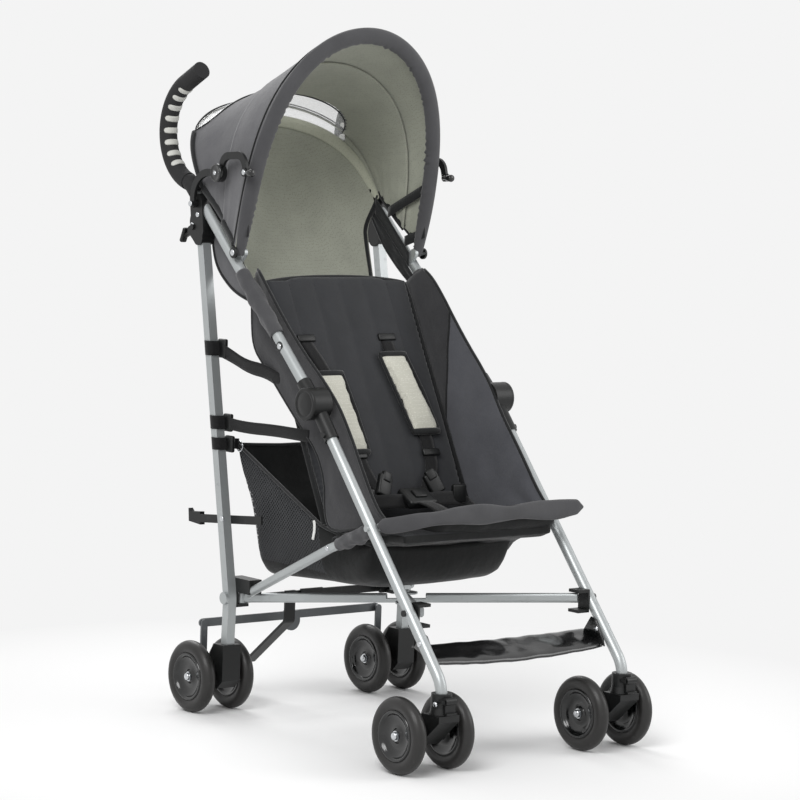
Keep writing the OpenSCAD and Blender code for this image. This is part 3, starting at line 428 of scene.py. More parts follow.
class Links:
    """Short ways to add and join nodes in one node tree."""

    def __init__(self, tree: bpy.types.NodeTree) -> None:
        """Keeps the tree."""
        self.tree = tree

    def node(self, kind: str, **values: object) -> bpy.types.Node:
        """Adds a node and sets its properties.

        Args:
            kind: The node's type name.
            values: Its properties.

        Returns:
            The node.
        """
        made = self.tree.nodes.new(kind)
        for key, value in values.items():
            setattr(made, key, value)
        return made

    def join(self, source: bpy.types.NodeSocket, target: bpy.types.NodeSocket) -> None:
        """Links two sockets."""
        self.tree.links.new(source, target)

    def maths(self, kind: str, a: object, b: object = 0.0, c: object = 0.0) -> bpy.types.NodeSocket:
        """Adds a Math node.

        Args:
            kind: The operation.
            a: First socket or number.
            b: Second socket or number.
            c: Third socket or number.

        Returns:
            Its output.
        """
        made = self.node("ShaderNodeMath", operation=kind)
        for socket, value in zip(made.inputs, (a, b, c)):
            if isinstance(value, bpy.types.NodeSocket):
                self.join(value, socket)
            else:
                socket.default_value = float(value)
        return made.outputs[0]

    def clamp(self, value: bpy.types.NodeSocket, top: float = 1.0) -> bpy.types.NodeSocket:
        """Keeps a value between 0 and a top."""
        return self.maths("MINIMUM", self.maths("MAXIMUM", value, 0.0), top)

    def noise(self, vector: bpy.types.NodeSocket, size: object, detail: float = 2.0
              ) -> bpy.types.NodeSocket:
        """Adds noise of a size in millimetres.

        Args:
            vector: Where it is read.
            size: Size of its features.
            detail: How fine it goes.

        Returns:
            Its value, about 0.5 on average.
        """
        made = self.node("ShaderNodeTexNoise")
        made.inputs["Detail"].default_value = detail
        self.join(vector, made.inputs["Vector"])
        if isinstance(size, bpy.types.NodeSocket):
            self.join(self.maths("DIVIDE", 1.0 / MM, size), made.inputs["Scale"])
        else:
            made.inputs["Scale"].default_value = 1.0 / (MM * size)
        return made.outputs["Fac"]


class GroupTree(Links):
    """A shader node group with number inputs and outputs."""

    def __init__(self, name: str, inputs: Sequence[tuple[str, float]], outputs: Sequence[str]) -> None:
        """Starts the group.

        Args:
            name: The group's name.
            inputs: Each input's name and usual value.
            outputs: Each output's name.
        """
        super().__init__(bpy.data.node_groups.new(name, "ShaderNodeTree"))
        for word, value in inputs:
            socket = self.tree.interface.new_socket(word, in_out="INPUT", socket_type="NodeSocketFloat")
            socket.default_value = value
        for word in outputs:
            self.tree.interface.new_socket(word, in_out="OUTPUT", socket_type="NodeSocketFloat")
        self.entry = self.node("NodeGroupInput")
        self.exit = self.node("NodeGroupOutput")
        self.place = self.node("ShaderNodeTexCoord").outputs["Object"]


def grain_group() -> bpy.types.NodeTree:
    """Builds the fine grain and wear that rigid finishes share.

    Returns:
        A group with a fine height, a broad mottle and a mask of small scuffs.
    """
    links = GroupTree("surface grain", [("Grain mm", 1.0), ("Mottle mm", 60.0), ("Scuffs", 0.2)],
                      ["Height", "Mottle", "Scuff"])
    fine = links.noise(links.place, links.entry.outputs["Grain mm"], 3.0)
    broad = links.noise(links.place, links.entry.outputs["Mottle mm"], 2.0)
    marks = links.noise(links.place, 9.0, 6.0)
    spots = links.maths("MULTIPLY", links.maths("SUBTRACT", marks, 0.62), 9.0)
    scuff = links.maths("MULTIPLY", links.clamp(spots), links.entry.outputs["Scuffs"])
    links.join(fine, links.exit.inputs["Height"])
    links.join(broad, links.exit.inputs["Mottle"])
    links.join(scuff, links.exit.inputs["Scuff"])
    return links.tree


def weave_group() -> bpy.types.NodeTree:
    """Builds the woven threads and uneven shade that cloths share.

    Returns:
        A group with a thread height, a broad shade and soft creases.
    """
    links = GroupTree("woven cloth", [("Thread mm", 1.2), ("Shade mm", 45.0), ("Crease mm", 30.0)],
                      ["Height", "Shade", "Crease"])
    split = links.node("ShaderNodeSeparateXYZ")
    links.join(links.place, split.inputs[0])
    pitch = links.maths("DIVIDE", 2 * math.pi / MM, links.entry.outputs["Thread mm"])
    warp = links.maths("SINE", links.maths("MULTIPLY", split.outputs["X"], pitch))
    slope = links.maths("ADD", split.outputs["Y"], split.outputs["Z"])
    weft = links.maths("SINE", links.maths("MULTIPLY", slope, pitch))
    threads = links.maths("MULTIPLY", warp, weft)
    fuzz = links.noise(links.place, 0.8, 2.0)
    height = links.maths("MULTIPLY_ADD", threads, 0.35, fuzz)
    shade = links.noise(links.place, links.entry.outputs["Shade mm"], 4.0)
    crease = links.noise(links.place, links.entry.outputs["Crease mm"], 5.0)
    links.join(height, links.exit.inputs["Height"])
    links.join(shade, links.exit.inputs["Shade"])
    links.join(crease, links.exit.inputs["Crease"])
    return links.tree


GRAIN = grain_group()
WEAVE = weave_group()


class FinishTree(Links):
    """A material's node tree with its Principled shader."""

    def __init__(self, name: str) -> None:
        """Starts a material with one shader."""
        self.material = bpy.data.materials.new(name)
        self.material.use_nodes = True
        super().__init__(self.material.node_tree)
        self.tree.nodes.clear()
        self.shader = self.node("ShaderNodeBsdfPrincipled")
        self.join(self.shader.outputs[0], self.node("ShaderNodeOutputMaterial").inputs[0])

    def group(self, tree: bpy.types.NodeTree, **values: float) -> bpy.types.Node:
        """Places a shared group with its own values."""
        made = self.node("ShaderNodeGroup", node_tree=tree)
        for word, value in values.items():
            made.inputs[word.replace("_", " ")].default_value = value
        return made

    def blend(self, share: bpy.types.NodeSocket, first: object, second: object) -> bpy.types.NodeSocket:
        """Mixes two colours.

        Args:
            share: How much of the second.
            first: A socket or a colour code.
            second: A socket or a colour code.

        Returns:
            The mixed colour.
        """
        made = self.node("ShaderNodeMix", data_type="RGBA")
        self.join(share, made.inputs["Factor"])
        for socket, value in ((made.inputs[6], first), (made.inputs[7], second)):
            if isinstance(value, str):
                socket.default_value = colour(value)
            else:
                self.join(value, socket)
        return made.outputs[2]

    def bump(self, height: bpy.types.NodeSocket, depth: float, below: Optional[bpy.types.NodeSocket] = None
             ) -> bpy.types.NodeSocket:
        """Adds a bump.

        Args:
            height: The height socket.
            depth: Its depth in millimetres.
            below: A normal that it is laid on.

        Returns:
            The bumped normal.
        """
        made = self.node("ShaderNodeBump")
        made.inputs["Strength"].default_value = 0.7
        made.inputs["Distance"].default_value = depth * MM
        self.join(height, made.inputs["Height"])
        if below:
            self.join(below, made.inputs["Normal"])
        return made.outputs[0]


@dataclass(frozen=True)
class Hard:
    """A rigid finish: metal, moulded plastic, foam or rubber."""

    name: str
    base: str
    second: str
    scuffed: str
    rough: float
    metallic: float = 0.0
    grain: float = 1.0
    depth: float = 0.05
    mottle: float = 60.0
    scuffs: float = 0.25
    coat: float = 0.0
    shine: float = 0.4
    alpha: float = 1.0

    def make(self) -> bpy.types.Material:
        """Builds the material."""
        tree = FinishTree(self.name)
        skin = tree.group(GRAIN, Grain_mm=self.grain, Mottle_mm=self.mottle, Scuffs=self.scuffs)
        plain = tree.blend(skin.outputs["Mottle"], self.base, self.second)
        worn = tree.blend(skin.outputs["Scuff"], plain, self.scuffed)
        tree.join(worn, tree.shader.inputs["Base Color"])
        rough = tree.maths("MULTIPLY_ADD", skin.outputs["Height"], 0.16, self.rough - 0.08)
        rough = tree.maths("MULTIPLY_ADD", skin.outputs["Scuff"], 0.25, rough)
        tree.join(rough, tree.shader.inputs["Roughness"])
        tree.join(tree.bump(skin.outputs["Height"], self.depth), tree.shader.inputs["Normal"])
        tree.shader.inputs["Metallic"].default_value = self.metallic
        tree.shader.inputs["Specular IOR Level"].default_value = self.shine
        tree.shader.inputs["Alpha"].default_value = self.alpha
        tree.shader.inputs["Coat Weight"].default_value = self.coat
        tree.shader.inputs["Coat Roughness"].default_value = 0.12
        return tree.material


@dataclass(frozen=True)
class Cloth:
    """A woven finish, with a print of small dots or open mesh where asked."""

    name: str
    base: str
    second: str
    rough: float = 0.85
    thread: float = 1.3
    depth: float = 0.16
    crease: float = 0.0
    dots: str = ""
    dot_size: float = 6.0
    mesh_hole: float = 0.0
    sheen: float = 0.25

    def make(self) -> bpy.types.Material:
        """Builds the material."""
        tree = FinishTree(self.name)
        skin = tree.group(WEAVE, Thread_mm=self.thread)
        shade = tree.maths("MULTIPLY_ADD", skin.outputs["Shade"], 1.6, -0.3)
        tint = tree.blend(tree.clamp(shade), self.base, self.second)
        if self.dots:
            cells = tree.node("ShaderNodeTexVoronoi", feature="F1")
            cells.inputs["Scale"].default_value = 1 / (self.dot_size * MM)
            cells.inputs["Randomness"].default_value = 0.55
            tree.join(tree.node("ShaderNodeTexCoord").outputs["Object"], cells.inputs["Vector"])
            dot = tree.maths("MULTIPLY", tree.maths("SUBTRACT", 0.34, cells.outputs["Distance"]), 7.0)
            tint = tree.blend(tree.clamp(dot, 0.8), tint, self.dots)
        tree.join(tint, tree.shader.inputs["Base Color"])
        normal = tree.bump(skin.outputs["Height"], self.depth)
        if self.crease:
            normal = tree.bump(skin.outputs["Crease"], self.crease, normal)
        tree.join(normal, tree.shader.inputs["Normal"])
        rough = tree.maths("MULTIPLY_ADD", skin.outputs["Height"], 0.12, self.rough - 0.08)
        tree.join(rough, tree.shader.inputs["Roughness"])
        tree.shader.inputs["Sheen Weight"].default_value = self.sheen
        tree.shader.inputs["Sheen Roughness"].default_value = 0.5
        tree.shader.inputs["Specular IOR Level"].default_value = 0.15
        if self.mesh_hole:
            tree.join(self._holes(tree), tree.shader.inputs["Alpha"])
        return tree.material

    def _holes(self, tree: FinishTree) -> bpy.types.NodeSocket:
        """Builds the open gaps of a net, in the side plane."""
        split = tree.node("ShaderNodeSeparateXYZ")
        tree.join(tree.node("ShaderNodeTexCoord").outputs["Object"], split.inputs[0])
        pitch = 2 * math.pi / (self.mesh_hole * MM)
        ups = tree.maths("SINE", tree.maths("MULTIPLY", split.outputs["Z"], pitch))
        back = tree.maths("SINE", tree.maths("MULTIPLY", split.outputs["Y"], pitch))
        hole = tree.maths("GREATER_THAN", tree.maths("MULTIPLY", ups, back), 0.1)
        return tree.maths("SUBTRACT", 1.0, hole)


class Finishes:
    """All finishes of the stroller, made once."""

    def __init__(self) -> None:
        """Builds the materials."""
        self._metals_and_plastics()
        self._cloths()

    def _metals_and_plastics(self) -> None:
        """Builds the rigid finishes."""
        self.silver = Hard("silver frame", "#b4b8b8", "#a6aaab", "#8b8e90", rough=0.38, metallic=0.6,
                           grain=0.9, depth=0.02, mottle=90.0, scuffs=0.3).make()
        self.steel = Hard("bright steel", "#d2d4d6", "#c2c5c8", "#9a9c9e", rough=0.22, metallic=1.0,
                          grain=0.8, depth=0.01, mottle=20.0, scuffs=0.3).make()
        self.plastic = Hard("moulded plastic", "#0b0c0c", "#121313", "#28292a", rough=0.42, grain=0.7,
                            mottle=40.0, scuffs=0.3).make()
        self.gloss = Hard("gloss plastic", "#090a0a", "#0f1010", "#232425", rough=0.18, grain=1.6,
                          depth=0.02, mottle=50.0, scuffs=0.35, coat=0.5).make()
        self.rubber = Hard("tyre foam", "#1b1a19", "#242322", "#383736", rough=0.46, grain=1.1, depth=0.06,
                           mottle=25.0, scuffs=0.4, coat=0.1).make()
        self.painted = Hard("grey enamel", "#5a5d5f", "#65686a", "#85888a", rough=0.42, metallic=0.2,
                            depth=0.03, mottle=50.0, scuffs=0.4).make()
        self.black_steel = Hard("black enamel", "#0e0f0f", "#151616", "#3a3c3e", rough=0.4, metallic=0.1,
                                depth=0.03, mottle=50.0, scuffs=0.4).make()
        self.foam = Hard("grip foam", "#1c1c1d", "#242425", "#333334", rough=0.78, grain=0.9, depth=0.22,
                         mottle=12.0).make()
        self.pale = Hard("grip insert", "#c9c9c4", "#bcbcb6", "#a4a49e", rough=0.55, grain=0.8, depth=0.08,
                         mottle=14.0, scuffs=0.2).make()
        self.white = Hard("white tab", "#e6e6e4", "#dcdcd9", "#c6c6c2", rough=0.45, grain=0.8, depth=0.03,
                          mottle=20.0, scuffs=0.2).make()
        self.band = Hard("footrest sheet", "#0b0b0c", "#101011", "#1c1c1d", rough=0.2, grain=4.0, depth=0.3,
                         mottle=30.0, scuffs=0.35, coat=0.6).make()
        self.clear = Hard("clear window", "#f2f3f3", "#e2e4e5", "#ffffff", rough=0.2, grain=7.0, depth=1.2,
                          mottle=14.0, scuffs=0.6, coat=0.3, alpha=0.25).make()

    def _cloths(self) -> None:
        """Builds the woven finishes."""
        self.hood = Cloth("hood cloth", "#666668", "#58585b", crease=2.6).make()
        self.hem = Cloth("hem cloth", "#4d4d4f", "#424244", crease=1.8).make()
        self.lining = Cloth("dotted lining", "#a6a89b", "#989a8e", rough=0.9, thread=1.4, depth=0.14,
                            crease=2.4, dots="#85887d", dot_size=3.0).make()
        self.pale_lining = Cloth("lining fold", "#bdbfae", "#b0b2a1", rough=0.9, thread=1.4, depth=0.14,
                                 crease=1.0, dots="#a0a292", dot_size=3.0).make()
        self.seat = Cloth("slate cloth", "#5a5b60", "#4e4f54", crease=2.4).make()
        self.side = Cloth("wing cloth", "#3d3d3f", "#343436", crease=2.4).make()
        self.back = Cloth("charcoal cloth", "#303134", "#292a2c", rough=0.7, thread=1.2, depth=0.14,
                          crease=1.2).make()
        self.pad = Cloth("shoulder pad cloth", "#c9c8bc", "#bdbcb0", rough=0.9, thread=1.6, depth=0.25,
                         crease=1.6, dots="#dddcd3", dot_size=3.0).make()
        self.binding = Cloth("dark binding", "#202122", "#191a1b", rough=0.75, thread=1.6, depth=0.3).make()
        self.webbing = Cloth("black webbing", "#0f0f10", "#161617", rough=0.65, thread=2.2, depth=0.4,
                             sheen=0.15).make()
        self.bag = Cloth("basket cloth", "#0f1010", "#161717", rough=0.55, thread=1.4, depth=0.2, crease=2.5,
                         sheen=0.1).make()
        self.net = Cloth("basket net", "#37383a", "#404143", rough=0.6, thread=1.4, depth=0.2, mesh_hole=7.0,
                         sheen=0.1).make()


@dataclass
class CadFinish:
    """Puts procedural finishes on the rigid CAD nodes."""

    finishes: Finishes

    def dress(self) -> None:
        """Gives every node the finish that its name calls for."""
        f = self.finishes
        table = [
            ("axle", f.steel), ("wheel", f.rubber), ("front_leg", f.silver), ("handle_tube", f.silver),
            ("rear_leg", f.silver), ("seat_tube", f.silver), ("x_bar", f.silver), ("grip", f.foam),
            ("rear_brace", f.black_steel), ("foot_lever", f.black_steel), ("brake_bar", f.painted),
            ("brake_link", f.painted), ("transport_hook", f.black_steel), ("strut", f.plastic),
        ]
        for name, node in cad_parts.items():
            found = next((finish for word, finish in table if word in name), f.plastic)
            node.data.materials.clear()
            node.data.materials.append(found)
            for polygon in node.data.polygons:
                polygon.material_index = 0
            LOG.info("node %s is finished as %s", name, found.name)


@dataclass
class Canopy:
    """The two-part canopy on its bows, with the panel that drops behind the backrest."""

    finishes: Finishes
    half: float = 200.0
    vent_half: float = 194.0
    crown: Pair = (140.0, 1142.0)
    pivot: Pair = (232.0, 768.0)
    vent_crown: Pair = (440.0, 1024.0)
    vent_foot: Pair = (343.3, 870.7)
    lift: float = 9.3
    dip: float = 10.0
    seam_share: float = 0.42
    tuck_share: float = 0.34
    cloth: float = 3.0
    hood_step: float = 5.0
    window_middle: float = 0.49
    window_half: float = 0.18
    window_rear: float = 0.985
    window_depth: float = 0.21
    window_round: int = 6

    def bow_way(self) -> Pair:
        """Gives the front bow's direction in the side plane."""
        run = (self.crown[0] - self.pivot[0], self.crown[1] - self.pivot[1])
        size = math.hypot(*run)
        return run[0] / size, run[1] / size

    def point(self, u: float, share: float, inset: float, drop: float = 0.0) -> tuple[float, float, float]:
        """Gives a point of the canopy's arch in drawing millimetres.

        Args:
            u: Round the arch, from the child's right to the left.
            share: From the front bow to the rear one.
            inset: How far under the outer cloth.
            drop: How far the front foot reaches below the usual one.

        Returns:
            The point.
        """
        way = self.bow_way()
        angle = math.pi * (1 - (u - math.sin(2 * math.pi * u) / (2 * math.pi)))
        rise = math.sin(max(0.0, min(math.pi, angle))) ** 0.62 if 0 < u < 1 else 0.0
        rest = self.lift - drop
        start = (self.pivot[0] + way[0] * rest, self.pivot[1] + way[1] * rest)
        wave = math.sin(math.pi * share)
        foot = [mix(a, b, share) for a, b in zip(start, self.vent_foot)]
        top = [mix(a, b, share) - w * inset for a, b, w in zip(self.crown, self.vent_crown, way)]
        top[1] -= self.dip * wave
        half = mix(self.half, self.vent_half, share) - self.dip / 2 * wave - inset
        return half * math.cos(angle), mix(foot[0], top[0], rise), mix(foot[1], top[1], rise)

    def fold(self, u: float, share: float) -> float:
        """Gives the depth of the cloth's soft folds, which fan out from the pivots."""
        low = 1 - math.sin(math.pi * u) ** 0.7
        fan = noise.noise(Vector((u * 2.0, share * 11.0, 1.7)))
        broad = noise.noise(Vector((u * 5.0, share * 4.0, 4.2)))
        return (3.0 * fan * low + 2.0 * broad) * ease(share * 14)

    def window_front(self, across: float) -> float:
        """Gives the share between the bows where the clear window starts.

        Args:
            across: The place across the window, from -1 to 1.

        Returns:
            The share.
        """
        return self.window_rear - self.window_depth * (1 - abs(across) ** self.window_round)

    def in_window(self, u: float, share: float) -> bool:
        """Tells whether a place of the rear shell lies in its clear window."""
        across = (u - self.window_middle) / self.window_half
        return abs(across) < 1 and self.window_front(across) < share < self.window_rear

    def shell(self, name: str, start: float, end: float, inset: float, rows: int, window: bool = False
              ) -> bpy.types.Object:
        """Builds one curved sheet of the canopy.

        Args:
            name: The piece's name.
            start: Where it starts between the bows.
            end: Where it ends.
            inset: How far it lies inside the outer form.
            rows: Faces from front to rear.
            window: Whether it holds the clear window.

        Returns:
            The sheet, grey outside and lined inside.
        """
        def place(u: float, v: float) -> Vector:
            """Puts a point of the sheet in place."""
            share = mix(start, end, v)
            depth = inset + max(-0.6, self.fold(u, share) * ease((1 - v) * 8) + 0.8)
            if window and self.in_window(u, share):
                depth += 1.6 * noise.noise(Vector((u * 60, share * 40, 5.5)))
            return at(*self.point(u, share, depth))

        def choose(u: float, v: float) -> int:
            """Picks the clear film in the window and the cloth elsewhere."""
            return 2 if window and self.in_window(u, mix(start, end, v)) else 0

        work = Workpiece()
        work.grid(120, rows, place, choose=choose)
        f = self.finishes
        return work.sheet(name, [f.hood, f.lining, f.clear, f.clear], self.cloth, 1, -1.0)

    def window_rim(self) -> bpy.types.Object:
        """Builds the dark binding along the front of the clear window, outside and inside."""
        work = Workpiece()
        for inset in (self.hood_step + 0.4, self.hood_step + 4.6):
            path = []
            for across in (i / 30 - 1 for i in range(61)):
                u = self.window_middle + self.window_half * across
                path.append(at(*self.point(u, self.window_front(across), inset)))
            work.tube(path, 1.6, 0, 8, 0.7)
        return work.piece("canopy_window_binding", [self.finishes.binding])

    def band(self, name: str, share: float, inset: float, radii: Pair, finish: bpy.types.Material,
             gathers: float = 0.0, span: Pair = (0.0, 1.0), drop: float = 0.0, foot: float = 1.0
             ) -> bpy.types.Object:
        """Builds a padded band or piping that follows an arch.

        Args:
            name: The piece's name.
            share: Where between the bows it runs.
            inset: How far inside the outer form its middle lies.
            radii: Its half depth and half width.
            finish: Its material.
            gathers: Depth of the gathers on its inner edge.
            span: The part of the arch it covers.
            drop: How far its feet reach below the usual ones.
            foot: Its width at the feet, as a share of the width at the crown.

        Returns:
            The piece.
        """
        way = self.bow_way()
        ahead = Vector((0, -way[1], way[0]))

        def place(u: float, v: float) -> Vector:
            """Puts a point of the band's skin in place."""
            s = mix(span[0], span[1], u)
            here = Vector(self.point(s, share, inset, drop))
            after = Vector(self.point(min(1.0, s + 0.004), share, inset, drop))
            before = Vector(self.point(max(0.0, s - 0.004), share, inset, drop))
            run = (after - before).normalized()
            out = ahead.cross(run).normalized()
            angle = 2 * math.pi * v
            edge = min(u, 1 - u)
            end = ease(edge * 24 + 0.2) * mix(foot, 1.0, ease(edge * 5)) if 0 < u < 1 else 0.0
            inner = max(0.0, -math.cos(angle)) ** 2
            beat = math.sin(u * 2 * math.pi * 84 + 5 * math.sin(u * 19))
            ripple = 1 + gathers * inner * beat * noise.noise(Vector((u * 30, 0.3, 7.7)))
            reach = out * (math.cos(angle) * radii[0] * ripple) + ahead * (math.sin(angle) * radii[1])
            return at(*(here + reach * end))

        work = Workpiece()
        work.grid(240, 16, place, merge=True)
        return work.piece(name, [finish])

    def foot_binding(self, name: str, start: float, end: float, inset: float) -> bpy.types.Object:
        """Builds the dark bound edges along the handle tubes.

        Args:
            name: The piece's name.
            start: Where between the bows they start.
            end: Where they end.
            inset: How far inside the outer form they lie.

        Returns:
            The piece.
        """
        work = Workpiece()
        for foot in (0.0, 1.0):
            path = [at(*self.point(foot, mix(start, end, i / 30), inset)) for i in range(31)]
            work.tube(path, 6.5, 0, 10, 0.5)
        return work.piece(name, [self.finishes.binding])

    def corner_clips(self) -> bpy.types.Object:
        """Builds the washers and rivets that hold the hem's corners on the pivots."""
        f = self.finishes
        work = Workpiece()
        for side in SIDES:
            washer = [(9.6, -3.0), (9.6, 0.6), (8.6, 1.6), (0.0, 1.8)]
            work.turned(washer, at(side * 200.8, *self.pivot), Vector((side, 0, 0)), 0, 40)
            work.rivet(at(side * 202.4, *self.pivot), Vector((side, 0, 0)), 5.4, 2.6, 1)
        return work.piece("canopy_corner_clips", [f.plastic, f.steel])

    def foot_facing(self) -> bpy.types.Object:
        """Builds the dark facing inside the handle tubes, and the stay straps from it to each hem."""
        work = Workpiece()
        for side in SIDES:
            def face(u: float, v: float) -> Vector:
                """Puts a point of the facing in place."""
                y = mix(240, 336, u)
                tube = ELBOW[1] + (y - ELBOW[0]) * HANDLE_SLOPE
                return at(side * 174.0, y, tube + mix(22, -12, v))

            work.grid(30, 4, face)
            for low, high in (((300, 836), (220, 878)), ((252, 788), (212, 805))):
                work.ribbon([(side * 174, *low), (side * FRAME_X, *high)], Vector((0, 0, 18)), 10, 2)
        return work.sheet("canopy_foot_facing", [self.finishes.binding], 1.6)

    def panel_place(self, u: float, v: float) -> Vector:
        """Puts a point of the hanging panel in place.

        Args:
            u: Across, from the child's right to the left.
            v: Down from the rear bow.

        Returns:
            The place.
        """
        x = 2 * u - 1
        top = self.point(mix(0.02, 0.98, u), 1.0, self.hood_step + 3.8)
        low = (150 * x, 304.0, 706.0)
        sway = 5 * noise.noise(Vector((u * 4, v * 2.2, 8.1))) + 12 * math.sin(math.pi * v) * (1 - x * x)
        across = mix(top[0], low[0], ease(v * 2.2))
        return at(across, mix(top[1], low[1], v) + sway * ease(v * 6), mix(top[2], low[2], v))

    def drop_panel(self) -> bpy.types.Object:
        """Builds the lined panel that hangs from the rear bow behind the backrest."""
        def choose(u: float, v: float) -> int:
            """Picks the clear film for the strip under the window and the cloth elsewhere."""
            return 2 if v < 0.05 and 0.31 < u < 0.68 else 0

        f = self.finishes
        work = Workpiece()
        work.grid(64, 36, self.panel_place, choose=choose)
        return work.sheet("canopy_drop_panel", [f.hood, f.lining, f.clear, f.clear], 2.5, 1, -1.0)

    def panel_hem(self) -> bpy.types.Object:
        """Builds the pale fold sewn across the top of the hanging panel, under the clear strip."""
        def place(u: float, v: float) -> Vector:
            """Puts a point of the fold in place."""
            ahead = 3.6 + 2.2 * math.sin(math.pi * v)
            return self.panel_place(mix(0.03, 0.97, u), mix(0.055, 0.12, v)) - at(0, ahead + MID_Y, 0)

        work = Workpiece()
        work.grid(90, 6, place)
        return work.sheet("canopy_panel_hem", [self.finishes.pale_lining], 1.4)

    def panel_binding(self) -> bpy.types.Object:
        """Builds the dark binding down the two sides of the hanging panel."""
        work = Workpiece()
        for u in (0.012, 0.988):
            work.tube([self.panel_place(u, 0.06 + 0.94 * i / 40) for i in range(41)], 6.0, 0, 10, 0.6)
        return work.piece("canopy_panel_binding", [self.finishes.binding])

    def flap(self, side: int) -> None:
        """Builds and ties the bound flap between a handle tube and the rear panel."""
        f = self.finishes
        tube = rounded([(338, 836), (285, 790), (232, 741), (205, 716)], 2)
        rim = rounded([(338, 802), (332, 772), (323, 746), (304, 725), (266, 700), (212, 686)], 2)
        reach = 1.0 if side < 0 else 0.35

        def place(u: float, v: float) -> Vector:
            """Puts a point of the flap in place."""
            y, z = (mix(a, b, v * reach) for a, b in zip(along(tube, u), along(rim, u)))
            wave = 3 * math.sin(math.pi * v) * noise.noise(Vector((u * 5, v * 2, 9.7)))
            return at(side * (mix(172, 170, v) + wave), y, z)

        work = Workpiece()
        work.grid(30, 10, place)
        if side < 0:
            bmesh.ops.reverse_faces(work.bm, faces=work.bm.faces[:])
        cloths = [f.hood, f.lining] if side < 0 else [f.binding, f.binding]
        name = Side(side).word + "_canopy_flap"
        self.tie(work.sheet(name, cloths, 1.6, 1, -1.0))
        edge = Workpiece()
        edge.tube([place(i / 40, 1.0) for i in range(41)], 2.6, 0, 8)
        self.tie(edge.piece(name + "_binding", [f.binding]))

    @staticmethod
    def tie(obj: bpy.types.Object, body: str = "seat_unit", replaced: Sequence[str] = ()) -> bpy.types.Object:
        """Ties a piece of canopy cloth to its body, with a mesh of its own."""
        return fasten(obj, body, replaced, True)

    def build(self) -> None:
        """Builds and ties all canopy pieces."""
        f = self.finishes
        hood = self.tie(self.shell("canopy_hood", 0.0, self.seam_share, 0.2, 36), "hood", ["canopy"])
        hem = self.band("canopy_hem", 0.0, 12.5, (14.0, 9.5), f.hem, 0.42, drop=15.0, foot=0.62)
        self.tie(hem, "hood", ["canopy_bow"])
        self.tie(self.band("canopy_hem_seam", 0.045, -0.2, (1.3, 1.6), f.binding), "hood")
        self.tie(self.foot_binding("hood_foot_binding", 0.06, self.seam_share, 1.0), "hood")
        fasten(self.corner_clips(), "hood", [], True)
        rear = self.shell("canopy_rear_shell", self.tuck_share, 1.0, self.hood_step + 0.4, 60, True)
        self.tie(rear, replaced=["canopy_rear"])
        self.tie(self.window_rim())
        self.tie(self.foot_binding("rear_foot_binding", 0.36, 1.0, self.hood_step + 1.5))
        right, left = self.window_middle - self.window_half, self.window_middle + self.window_half
        wide, thin = (2.6, 6.5), (1.2, 1.8)
        spans = (("right", (0.0, right), wide), ("middle", (right, left), thin), ("left", (left, 1.0), wide))
        for word, span, radii in spans:
            name = f"canopy_{word}_binding"
            self.tie(self.band(name, 0.985, self.hood_step - 0.8, radii, f.binding, span=span))
        self.tie(self.foot_facing())
        panel = self.tie(self.drop_panel())
        self.tie(self.panel_binding())
        self.tie(self.panel_hem())
        for side in SIDES:
            self.flap(side)


@dataclass
class Pad:
    """A stuffed pad: a slab shaped by a place function, swelled by a short cloth simulation."""

    name: str
    voxel: float = 5.0
    cap: float = 6.0
    pressure: float = 4.0

    def build(self, columns: int, rows: int, place: Callable[[float, float, float], Vector],
              finishes: Sequence[bpy.types.Material]) -> bpy.types.Object:
        """Builds the slab and swells it.

        Args:
            columns: Faces across.
            rows: Faces along.
            place: Where the point at two shares and a depth share lies.
            finishes: Its materials.

        Returns:
            The pad.
        """
        work = Workpiece()
        bmesh.ops.create_grid(work.bm, x_segments=columns, y_segments=rows, size=0.5)
        raised = bmesh.ops.extrude_face_region(work.bm, geom=list(work.bm.faces[:]))["geom"]
        lifted = [v for v in raised if isinstance(v, bmesh.types.BMVert)]
        bmesh.ops.translate(work.bm, vec=Vector((0, 0, 1)), verts=lifted)
        for vert in work.bm.verts:
            vert.co = place(vert.co.x + 0.5, vert.co.y + 0.5, vert.co.z)
        bmesh.ops.recalc_face_normals(work.bm, faces=work.bm.faces[:])
        obj = work.piece(self.name, finishes)
        self._swell(obj)
        return obj

    def _swell(self, obj: bpy.types.Object) -> None:
        """Runs the cloth simulation and caps how far each point moves."""
        remesh = obj.modifiers.new("even faces", "REMESH")
        remesh.mode = "VOXEL"
        remesh.voxel_size = self.voxel * MM
        settle(obj)
        rest = [v.co.copy() for v in obj.data.vertices]
        cloth = obj.modifiers.new("swell", "CLOTH")
        cloth.settings.use_pressure = True
        cloth.settings.uniform_pressure_force = self.pressure
        cloth.settings.effector_weights.gravity = 0
        cloth.settings.quality = 5
        cloth.point_cache.frame_start = 1
        cloth.point_cache.frame_end = 20
        scene = bpy.context.scene
        for step in range(1, 21):
            scene.frame_set(step)
        settle(obj)
        scene.frame_set(1)
        for vert, was in zip(obj.data.vertices, rest):
            move = vert.co - was
            if move.length > self.cap * MM:
                vert.co = was + move.normalized() * self.cap * MM
        for polygon in obj.data.polygons:
            polygon.use_smooth = True


